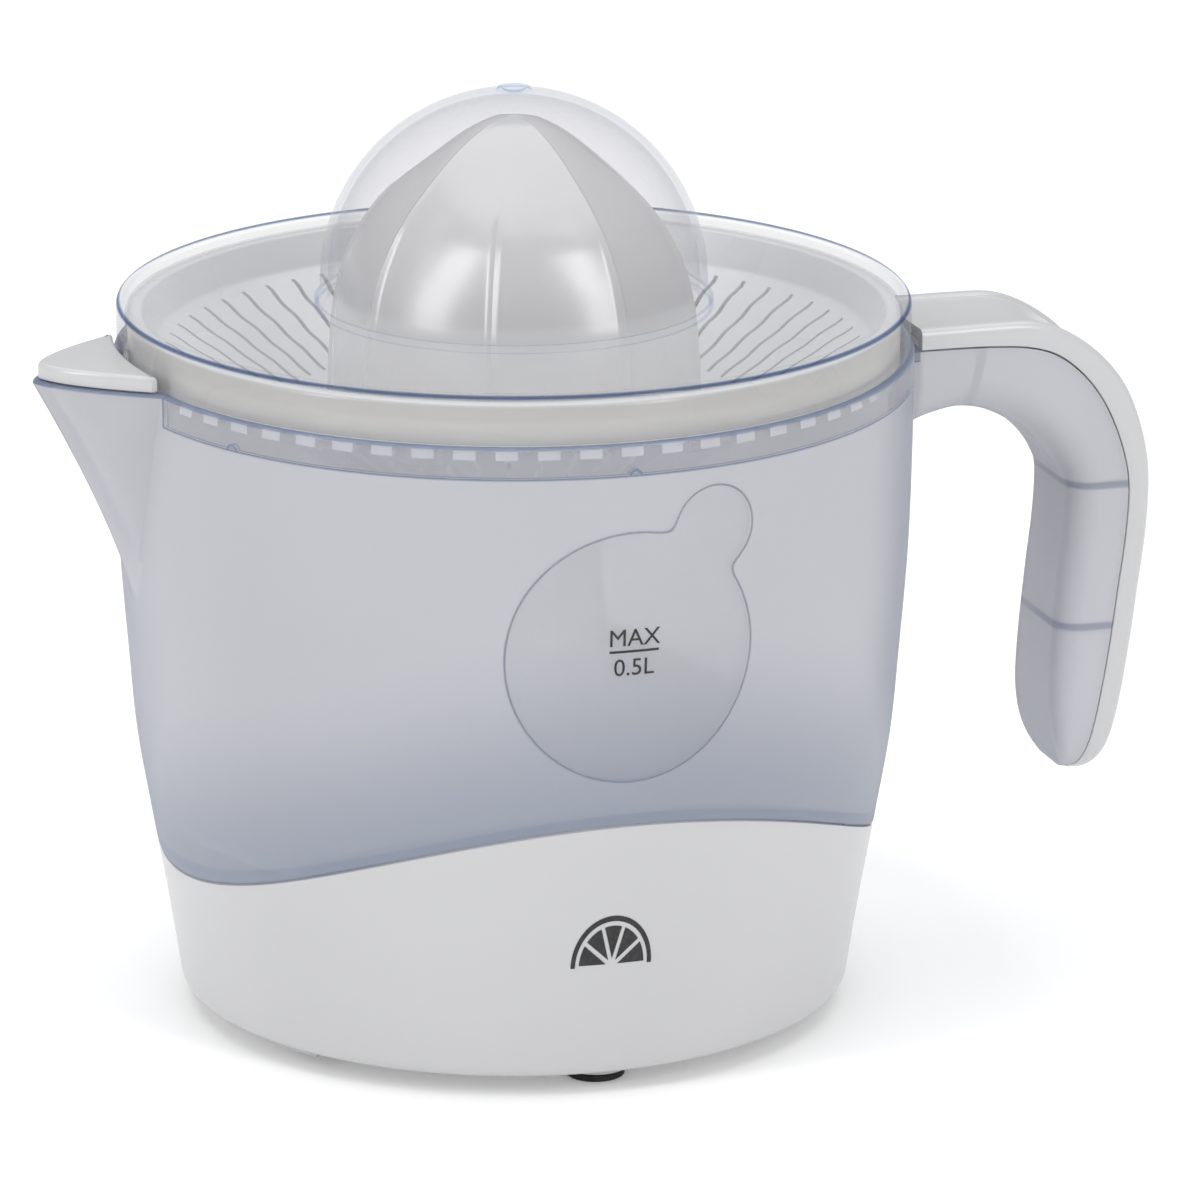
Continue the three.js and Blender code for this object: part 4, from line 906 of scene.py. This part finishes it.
# ---------------- base housing
def base_ring(j):
    """The base's section at one bearing: outer wall, seam, deck, pillar and bore, as a closed loop."""
    a = 2 * pi * j / AROUND_COLUMNS
    seam = seam_height(wall_radius(SPIGOT_LEVEL) * cos(a)) - SEAM_GAP
    loop = []

    def put(r, z):
        loop.append((*around(r, a), z))

    put(PLATE_SEAT, BASE_BOTTOM + 0.3)
    put(PLATE_SEAT + 0.3, BASE_BOTTOM)
    for k in range(7):
        b = pi / 2 * k / 6
        put(62.2 + (wall_radius(6.5) - 62.2) * sin(b), BASE_BOTTOM + 2.6 - 2.6 * cos(b))
    for k in range(1, 25):
        z = lerp(6.5, seam - 0.5, k / 24)
        put(wall_radius(z), z)
    put(wall_radius(seam) - 0.14, seam - 0.14)
    put(wall_radius(seam) - 0.5, seam)
    raised = smooth(-2, 2, deck_top(wall_radius(40) - 3.2) - seam)
    edge = wall_radius(seam) - lerp(BASE_WALL, SPIGOT_INSET + 0.5, raised)
    put(edge + 0.4, seam)
    put(edge, seam - 0.4 if raised < 0.5 else seam + 0.1)
    put(edge, lerp(seam, deck_top(edge), 0.5))
    put(edge - 0.05, deck_top(edge) + (0.4 if raised < 0.5 else -0.4))
    put(edge - 0.5, deck_top(edge - 0.5))
    for k in range(1, 11):
        r = lerp(edge - 1, PILLAR_RADIUS + 2, k / 10)
        put(r, deck_top(r))
    put(PILLAR_RADIUS + 0.9, deck_top(PILLAR_RADIUS + 0.9) + 0.4)
    put(PILLAR_RADIUS + 0.4, deck_top(PILLAR_RADIUS) + 1.4)
    for z in (76, 82, 88, 94, PILLAR_TOP - 1):
        put(PILLAR_RADIUS, z)
    for r, z in ((11.9, 101.6), (11.2, PILLAR_TOP), (BUSH_SEAT + 0.3, PILLAR_TOP),
                 (BUSH_SEAT, PILLAR_TOP - 0.3), (BUSH_SEAT, 94), (PILLAR_BORE, 91), (PILLAR_BORE, 80),
                 (PILLAR_BORE, deck_under(PILLAR_BORE + 2))):
        put(r, z)
    inner = wall_radius(38) - 5.6
    for k in range(1, 9):
        r = lerp(PILLAR_BORE + 2, inner, k / 8)
        put(r, deck_under(r))
    foot = wall_radius(8) - BASE_WALL
    for r, z in ((inner, 36), (inner, 33), (wall_radius(28) - BASE_WALL, 28),
                 (wall_radius(18) - BASE_WALL, 18), (foot, 7.4), (foot - 0.5, 7), (PLATE_SEAT, 7)):
        put(r, z)
    return loop


base = loft("base_shell", [base_ring(j) for j in range(AROUND_COLUMNS)], closed=True)


LUG_ANGLES, FOOT_ANGLES = (-150, -30, 90), (-90, 30, 150)
BOSS_CIRCLE, FOOT_CIRCLE, CORD_HEIGHT = 54, 52, 14
bosses = [(polar(BOSS_CIRCLE, a), 7, 3.6) for a in LUG_ANGLES]  # for the plate's screws
bosses += [(place, 32.1, 3.5) for place in ((-22, 13), (40, 16), (4, -44))]  # for the gear chassis
for place, bottom, radius in bosses:
    top = deck_under(hypot(*place)) + 1.2
    base = boolean(base, bar("boss", place, 1.4, radius, bottom, top), "UNION")
cord_hole = spun("cord_hole", [(0, 40), (4.4, 40), (4.4, 90), (0, 90)], 48, level=CORD_HEIGHT)
base = boolean(base, cord_hole, "DIFFERENCE")
tidy(base, 30)
piece(base, "base", "white_satin", M["base"], "base_housing")

# Underside plate with foot seats, lugs, screw wells, vents and motor posts.
VENTS, VENT_IN, VENT_OUT, VENT_HALF = 9, 26, 38, 2.5
disc_section = fillet([(0, 4.2), (60.2, 4.2, 0.4), (61, 4.9, 0.4), (61, 6.6, 0.3), (0, 6.6)])
plate_disc = spun("underside", disc_section, 160)
for a in FOOT_ANGLES:
    seat = spun("seat", fillet([(0, 1.7), (6.2, 1.7, 0.3), (6.6, 4.6, 0.2), (6.6, 9.4), (0, 9.4)]), 48,
                centre=polar(FOOT_CIRCLE, a))
    plate_disc = boolean(plate_disc, seat, "UNION")
    plate_disc = boolean(plate_disc, bar("hole", polar(FOOT_CIRCLE, a), 0, 2.9, 0, 8, 32), "DIFFERENCE")
for a in LUG_ANGLES:
    ends = [polar(60.2, a - 5 + k) for k in range(11)] + [polar(57.6, a + 5 - k) for k in range(11)]
    lug = plate("lug", ends, [(0.4, 2.1), (0.1, 2.25), (0, 2.6), (0, 4.7)])
    plate_disc = boolean(plate_disc, lug, "UNION")
    well = spun("well", [(0, 0), (3.3, 0), (3.3, 5.2), (1.9, 5.2), (1.9, 12), (0, 12)], 32,
                centre=polar(BOSS_CIRCLE, a))
    plate_disc = boolean(plate_disc, well, "DIFFERENCE")
corners = ((VENT_IN, -VENT_HALF), (VENT_OUT, -VENT_HALF), (VENT_OUT, VENT_HALF), (VENT_IN, VENT_HALF))
vent_plan = fillet([(x, y, VENT_HALF - 0.1) for x, y in corners], 6)
for k in range(VENTS):
    vent = plate("vent", turned(vent_plan, 360 / VENTS * k), [(0, 0), (0, 12)])
    plate_disc = boolean(plate_disc, vent, "DIFFERENCE")
ROTOR_AXIS = (12, -29)
for y in (-9, 9):
    post = bar("post", (ROTOR_AXIS[0] - 44.5, ROTOR_AXIS[1] + y), 1.2, 3.2, 6.3, 14.7)
    plate_disc = boolean(plate_disc, post, "UNION")
tidy(plate_disc, 30)
piece(plate_disc, "base", "white_satin", M["base"], "base_plate")

foot_section = fillet([(0, 0), (5.6, 0, 0.5), (5.6, 1.4, 0.2), (2.6, 1.4, 0.2), (2.6, 7.6, 0.4), (0, 7.6)])
for k, a in enumerate(FOOT_ANGLES):
    foot = spun(f"rubber_foot_{k + 1}", foot_section, 64, centre=polar(FOOT_CIRCLE, a))
    piece(foot, "base", "black_rubber", M["black_rubber"], f"foot_{k + 1}")

grommet_face = wall_radius(CORD_HEIGHT + 7) + 0.3
grommet_end = grommet_face - BASE_WALL - 2.4
grommet = spun("cord_outlet", fillet([
    (2.8, grommet_face + 2, 0.5), (6, grommet_face + 2, 0.8), (6.6, grommet_face, 0.1),
    (4.1, grommet_face, 0.1), (4.1, grommet_end, 0.3), (2.8, grommet_end, 0.3)]), 64, level=CORD_HEIGHT)
piece(grommet, "base", "grey_rubber", M["grey_rubber"], "cord_grommet")


# ---------------- dust cover
LID_RADIUS, LID_TOP, LID_WALL = 75.0, 138.0, 1.6
DOME_RADIUS, DOME_CENTRE, DOME_WALL = 36.6, 140.6, 1.5
NOTCH_HALF, NOTCH_TOP = 13.5, RIM + 4.2


def lid_ring(angle, bottom):
    """Section of the cover at one bearing, with its skirt ending at a height."""
    def dome(radius, first, last, steps):
        for k in range(steps + 1):
            b = radians(lerp(first, last, k / steps))
            yield radius * cos(b), DOME_CENTRE + radius * sin(b)

    inner, top, under = LID_RADIUS - LID_WALL, LID_TOP - 0.5, LID_TOP - 2
    knob, hole = DOME_CENTRE + DOME_RADIUS, DOME_RADIUS - DOME_WALL
    section = fillet([
        (inner, bottom, 0.5), (LID_RADIUS, bottom, 0.5), (LID_RADIUS, LID_TOP, 1.3),
        (LID_RADIUS - 2.4, LID_TOP, 0.5), (LID_RADIUS - 3.0, top, 0.5), (LID_RADIUS - 4.4, top), (55, top),
        (DOME_RADIUS + 2.9, top), (DOME_RADIUS + 0.1, top, 1.3),
    ], 6, closed=False)  # the points at both ends of the plate keep it shaded flat
    section = [(inner, bottom + 0.4), (inner + 0.4, bottom), (LID_RADIUS - 0.4, bottom)] + section[2:]
    section += dome(DOME_RADIUS, 1, 84.5, 40)
    knob_steps = ((3.3, 0.3), (3.0, 0.7), (2.5, 0.7), (2.2, 0.3), (1.6, -0.1), (0, -0.1))
    section += [(r, knob + up) for r, up in knob_steps]
    section += [(0, knob - DOME_WALL), *dome(hole, 86, 0, 36)]
    section += [(hole + 0.1, LID_TOP - 1.6), (hole + 0.7, under), (hole + 1.1, under), (55, under),
                (inner - 1.4, under), (inner - 1, under), (inner - 0.3, LID_TOP - 2.3), (inner, LID_TOP - 3)]
    return [(*around(r, angle), z) for r, z in section]


notch_angle = degrees(asin(NOTCH_HALF / LID_RADIUS))
bearings = [(180 + notch_angle + (360 - 2 * notch_angle) * k / 176, RIM + 0.3) for k in range(177)]
bearings += [(180 - notch_angle + 0.25, RIM + 0.8), (180 - notch_angle + 0.35, NOTCH_TOP - 0.5)]
bearings += [(180 + (notch_angle - 0.7) * (k / 8 - 1), NOTCH_TOP) for k in range(17)]
bearings += [(180 + notch_angle - 0.35, NOTCH_TOP - 0.5), (180 + notch_angle - 0.25, RIM + 0.8)]
cover = loft("clear_cover", [lid_ring(radians(a), b) for a, b in bearings], closed=True, sharp=40)
piece(cover, "cover", "clear_cover", M["clear"], "dust_cover")


# ---------------- strainer
STRAINER_RADIUS, STRAINER_TOP, SKIRT_BOTTOM = 72.9, 135.7, 125.5
SLOTS, SLOT_HALF, SLOT_ROWS, TEETH = 60, 0.5, 16, 60
SLOT_IN, SLOT_OUT, SLOT_IN_TOP, SLOT_OUT_TOP = 45.5, 65.8, 115.8, 128.2
SIEVE_THICKNESS, SLOT_WAVE = 2.2, 0.0042  # the slots are slightly wavy
tops = fillet([
    (STRAINER_RADIUS, SKIRT_BOTTOM), (STRAINER_RADIUS, STRAINER_TOP, 0.9), (70.2, STRAINER_TOP, 0.8),
    (67.8, 129.4, 1.6), (SLOT_OUT, SLOT_OUT_TOP), (SLOT_IN, SLOT_IN_TOP), (43.6, 114.7, 2), (38.6, 112.8, 2),
    (24, 112.8, 1.5), (13.2, 118.2, 0.8), (9.8, 118.4, 0.4), (9.8, 114)], 4, closed=False)


def sieve_rows():
    """(r, z, slotted) down the section: outer skirt, rim, slope, slotted floor, hub, and back under it."""
    def slotted(first, last, down):
        radii = [lerp(first, last, k / SLOT_ROWS) for k in range(SLOT_ROWS + 1)]
        rise = SLOT_OUT_TOP - SLOT_IN_TOP
        return [(r, SLOT_IN_TOP + rise * (r - SLOT_IN) / (SLOT_OUT - SLOT_IN) - down, True) for r in radii]

    def solid(points):
        return [(r, z, False) for r, z in points]

    return [*solid(p for p in tops if p[0] > SLOT_OUT + 0.05), *slotted(SLOT_OUT, SLOT_IN, 0),
            *solid(p for p in tops if p[0] < SLOT_IN - 0.05),
            *solid([(9.8, 110.8), (24, 110.8), (39.4, 110.8), (43, 111.9)]),
            *slotted(SLOT_IN, SLOT_OUT, SIEVE_THICKNESS),
            *solid([(70.4, 128.6), (71.3, 129.4), (71.3, SKIRT_BOTTOM + 1.5), (71.3, SKIRT_BOTTOM)])]


rows = sieve_rows()
slotted_rows = [k for k, row in enumerate(rows) if row[2]]
slot_top, slot_under = slotted_rows[:SLOT_ROWS + 1], slotted_rows[SLOT_ROWS + 1:]
points, faces = [], []
SUB = 4  # columns a pitch: both sides of a slot, then two of land
pitch = 2 * pi / SLOTS
for c in range(SLOTS * SUB):
    for r, z, _ in rows:
        half_turn = SLOT_HALF / r
        land = pitch - 2 * half_turn
        turn = (-half_turn, half_turn, half_turn + land / 3, half_turn + land * 2 / 3)[c % SUB]
        wave = SLOT_WAVE * sin((r - SLOT_IN) * 0.9) if SLOT_IN < r < SLOT_OUT else 0
        a = pitch * (c // SUB) + turn + wave
        points.append((*around(r, a), z))
for c in range(SLOTS * SUB):
    here, after = c * len(rows), (c + 1) % (SLOTS * SUB) * len(rows)
    in_slot = c % SUB == 0
    for k in range(len(rows)):
        m = (k + 1) % len(rows)
        if not (in_slot and any(k in side and m in side for side in (slot_top, slot_under))):
            faces.append((here + k, after + k, after + m, here + m))
    if in_slot:
        for edge, step in ((here, 1), (after, -1)):
            for k in range(SLOT_ROWS):
                below = slot_under[SLOT_ROWS - 1 - k], slot_under[SLOT_ROWS - k]
                faces.append(tuple(edge + row for row in (slot_top[k], slot_top[k + 1], *below))[::step])
        for upper, lower in ((slot_top[0], slot_under[-1]), (slot_top[-1], slot_under[0])):
            faces.append((here + upper, after + upper, after + lower, here + lower))
strainer = make("sieve", points, faces, 30)
gap_points, gap_faces = [], []
for k in range(TEETH):
    b = len(gap_points)
    gap = turned(((70, -1.8), (75, -1.8), (75, 1.8), (70, 1.8)), 360 / TEETH * (k + 0.5))
    gap_points += [(x, y, z) for z in (SKIRT_BOTTOM - 1, SKIRT_BOTTOM + 1.5) for x, y in gap]
    gap_faces += [(b, b + 3, b + 2, b + 1), (b + 4, b + 5, b + 6, b + 7)]
    gap_faces += [(b + i, b + (i + 1) % 4, b + 4 + (i + 1) % 4, b + 4 + i) for i in range(4)]
strainer = boolean(strainer, make("tooth_gaps", gap_points, gap_faces), "DIFFERENCE")
tidy(strainer, 30)
piece(strainer, "strainer", "white_gloss", M["sieve"], "strainer")


# ---------------- reamer
REAMER_BOTTOM, REAMER_TIP, RIBS, LONG_RIB_ANGLE = 114.5, 172.6, 8, 21
crest_line = catmull([(REAMER_BOTTOM, 35.6), (127, 35.2), (138.5, 33.9), (147.5, 31), (156.5, 25.2),
                      (166, 15), (171, 6.8), (REAMER_TIP, 0.6)], 10)
REAMER_COLUMNS = 384
LOW_SCOOP, HIGH_SCOOP = 0.045, 0.085  # depth of the flutes, as a share of the radius
DRIVE_RADIUS, DRIVE_FLAT = 4.5, 3.5


def reamer_ring(z, crest):
    """The cone's outline at a height: short and long ribs low down, only the long ones near the tip."""
    ring = []
    upper = smooth(158, 168, z)
    for k in range(REAMER_COLUMNS):
        degrees = 360 * k / REAMER_COLUMNS
        turn = (degrees / (360 / RIBS)) % 2
        near_long = min(turn, 2 - turn)
        near_any = min(near_long, abs(1 - turn))
        low = 1 - (1 - 2 * near_any) ** 2
        high = 1 - (1 - near_long) ** 2
        scoop = lerp(low * LOW_SCOOP, high * HIGH_SCOOP, upper)
        rib = lerp(near_any, near_long, upper)
        scoop -= 0.012 * exp(-(rib / 0.028) ** 2)
        r = crest * (1 - scoop) - 0.3
        ring.append((*polar(r, degrees + LONG_RIB_ANGLE), z))
    return ring


reamer = loft("reamer_cone", [reamer_ring(z, r) for z, r in crest_line], sharp=24)
hollow = spun("hollow", [(7.8, REAMER_BOTTOM - 2), (30, REAMER_BOTTOM - 2), (29.8, 122), (29, 128), (28, 133),
                         (26.4, 138), (24.2, 142.6), (21.6, 147), (18.2, 151.8), (14, 156), (7.8, 161)], 96)
socket_foot = bar("socket_foot", (0, 0), 0, 9, REAMER_BOTTOM - 2, 116, 64)
flat = asin(DRIVE_FLAT / DRIVE_RADIUS)
drive_plan = [around(DRIVE_RADIUS, a) for a in np.linspace(-flat, flat, 17)]
drive_plan += [(-x, -y) for x, y in drive_plan]
for cut in (hollow, socket_foot, plate("drive", drive_plan, [(0, 110), (0, 126.3)])):
    reamer = boolean(reamer, cut, "DIFFERENCE")
tidy(reamer, 24)
piece(reamer, "reamer", "white_gloss", M["gloss"], "reamer")


# ---------------- return spring under the plunger
SPRING_RADIUS, SPRING_WIRE, SPRING_TURNS, SPRING_STEPS = 4.2, 0.5, 4, 36
SPRING_BOTTOM, SPRING_TOP, PRESS_TRAVEL = 18.9, 23.9, 2.0
spring_rings = []
for k in range(SPRING_TURNS * SPRING_STEPS + 1):
    a = 2 * pi * k / SPRING_STEPS
    z = lerp(SPRING_BOTTOM + SPRING_WIRE, SPRING_TOP - SPRING_WIRE, k / (SPRING_TURNS * SPRING_STEPS))
    section = [(SPRING_RADIUS + SPRING_WIRE * cos(b), z + SPRING_WIRE * sin(b))
               for b in (2 * pi * j / 12 for j in range(12))]
    spring_rings.append([(*around(r, a), h) for r, h in section])
spring = loft("press_spring", spring_rings)
piece(spring, "base", "steel", M["steel"], "return_spring")
P(0, 0, SPRING_BOTTOM)
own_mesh(spring)


# ---------------- marks on the jug and the base
def wall_point(u, z, lift):
    """A point on the wall, u along it from the front towards the handle, lifted off the surface."""
    r = wall_radius(z) + lift
    return (*around(r, -pi / 2 + u / WALL_MEAN_RADIUS), z)


def window_radius(bearing):
    """How far the window's outline is from the middle of its circle, found by halving."""
    low, high = 10.0, 60.0
    for _ in range(40):
        mid = (low + high) / 2
        inside = window_distance(mid * cos(bearing), WINDOW_HEIGHT + mid * sin(bearing)) < 0
        low, high = (mid, high) if inside else (low, mid)
    return low


BEAD_POINTS, BEAD_HALF, BEAD_LIFT = 360, 0.2, 0.16
bearings = [2 * pi * k / BEAD_POINTS for k in range(BEAD_POINTS)]
edge_points = [(r * cos(a), WINDOW_HEIGHT + r * sin(a)) for a, r in
               ((a, window_radius(a)) for a in bearings)]
eighths = [2 * pi * m / 8 for m in range(8)]
round_bead = [(BEAD_HALF * cos(b), BEAD_LIFT * sin(b)) for b in eighths]
bead_rings = []
for k, (u, z) in enumerate(edge_points):
    t = np.subtract(edge_points[(k + 1) % BEAD_POINTS], edge_points[k - 1])
    t /= np.linalg.norm(t)
    bead_rings.append([wall_point(u - t[1] * side, z + t[0] * side, lift) for side, lift in round_bead])
bead = loft("window_outline", bead_rings, closed=True, sharp=80)
piece(bead, "jug", "frosted_jug", M["clear"])


def printed(name, text, size, u, z):
    """A line of plain print wrapped on the wall, centred on u, with its base line at z."""
    curve = bpy.data.curves.new(name, "FONT")
    curve.body = text
    curve.align_x = "CENTER"
    curve.size = size
    curve.resolution_u = 6
    temp = add_object(name, curve)
    mesh = evaluated_mesh(temp)
    bpy.data.objects.remove(temp)
    return wrapped(name, mesh, u, z)


PRINT_LIFT, PRINT_DEPTH, LONGEST_EDGE = 0.03, 0.05, 1.6  # short edges let the print follow the round wall


def wrapped(name, mesh, u, z):
    """A flat mesh in X and Y, thickened and wrapped on the wall."""
    bm = bmesh.new()
    bm.from_mesh(mesh)
    bmesh.ops.remove_doubles(bm, verts=bm.verts, dist=0.001)
    bmesh.ops.triangulate(bm, faces=bm.faces)
    for _ in range(4):
        long_edges = [e for e in bm.edges if e.calc_length() > LONGEST_EDGE]
        if not long_edges:
            break
        bmesh.ops.subdivide_edges(bm, edges=long_edges, cuts=1)
        bmesh.ops.triangulate(bm, faces=bm.faces)
    made = bmesh.ops.extrude_face_region(bm, geom=list(bm.faces))
    for v in made["geom"]:
        if isinstance(v, bmesh.types.BMVert):
            v.co.z += PRINT_DEPTH
    for v in bm.verts:
        v.co = P(*wall_point(u + v.co.x, z + v.co.y, PRINT_LIFT + v.co.z))
    bmesh.ops.recalc_face_normals(bm, faces=bm.faces)
    out = bpy.data.meshes.new(name)
    bm.to_mesh(out)
    bm.free()
    return add_object(name, out)


def flat_mesh(name, polygons):
    """A mesh in X and Y with one face for each polygon."""
    mesh = bpy.data.meshes.new(name)
    points = [(x, y, 0) for polygon in polygons for x, y in polygon]
    faces, start = [], 0
    for polygon in polygons:
        faces.append(tuple(range(start, start + len(polygon))))
        start += len(polygon)
    mesh.from_pydata(points, [], faces)
    return mesh


for name, text, height in (("mark_word", "MAX", 90.3), ("mark_volume", "0.5L", 84.6)):
    piece(printed(name, text, 4.6, 0, height), "jug", "frosted_jug", M["ink"])
bar_mesh = flat_mesh("mark_line", [[(-4.7, -0.22), (4.7, -0.22), (4.7, 0.22), (-4.7, 0.22)]])
piece(wrapped("mark_line", bar_mesh, 0, 89.2), "jug", "frosted_jug", M["ink"])


# A plain half slice of citrus stands where the base carries its print.
SLICE_WIDTH, SLICE_RISE, SEGMENTS_IN_SLICE = 8.6, 10.4, 5


def arc_points(radius, first, last, count):
    """Points on the slice's half ellipse, scaled to a half width."""
    angles = [lerp(first, last, k / count) for k in range(count + 1)]
    return [(radius * cos(a), radius * SLICE_RISE / SLICE_WIDTH * sin(a)) for a in angles]


slice_parts = []
for k in range(20):
    a, b = pi * k / 20, pi * (k + 1) / 20
    slice_parts.append(arc_points(SLICE_WIDTH, a, b, 2) + arc_points(SLICE_WIDTH - 0.9, b, a, 2))
for k in range(SEGMENTS_IN_SLICE):
    a, b = pi * (k + 0.09) / SEGMENTS_IN_SLICE, pi * (k + 0.91) / SEGMENTS_IN_SLICE
    corner = arc_points(1.3, (a + b) / 2, (a + b) / 2, 1)[:1]
    slice_parts.append(corner + arc_points(SLICE_WIDTH - 1.7, a, b, 8))
slice_mesh = flat_mesh("print_slice", slice_parts)
piece(wrapped("print_slice", slice_mesh, -2.0, 26.4), "base", "white_satin", M["ink"])


# ---------------- pieces that keep their CAD shape
CARRIED = {
    "steel": ("base_screw", "rotor_shaft", "motor_screw", "chassis_screw", "gear_pin", "gear_clip",
              "drive_spindle"),
    "iron": ("stator_core",), "copper": ("coil",), "ferrite": ("rotor_magnet",),
    "nylon": ("rotor_pinion", "gear_chassis", "intermediate_gear", "output_gear", "press_plunger"),
    "bronze": ("thrust_washer", "spindle_bush"), "grey_rubber": ("spindle_seal", "switch_button"),
    "switch": ("switch_body",),
}
for node_name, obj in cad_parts.items():
    if obj.hide_render:
        continue
    look = next(look for look, stems in CARRIED.items() for stem in stems
                if node_name == stem or node_name.startswith(stem + "_"))
    obj.data.materials.clear()
    obj.data.materials.append(M[look])
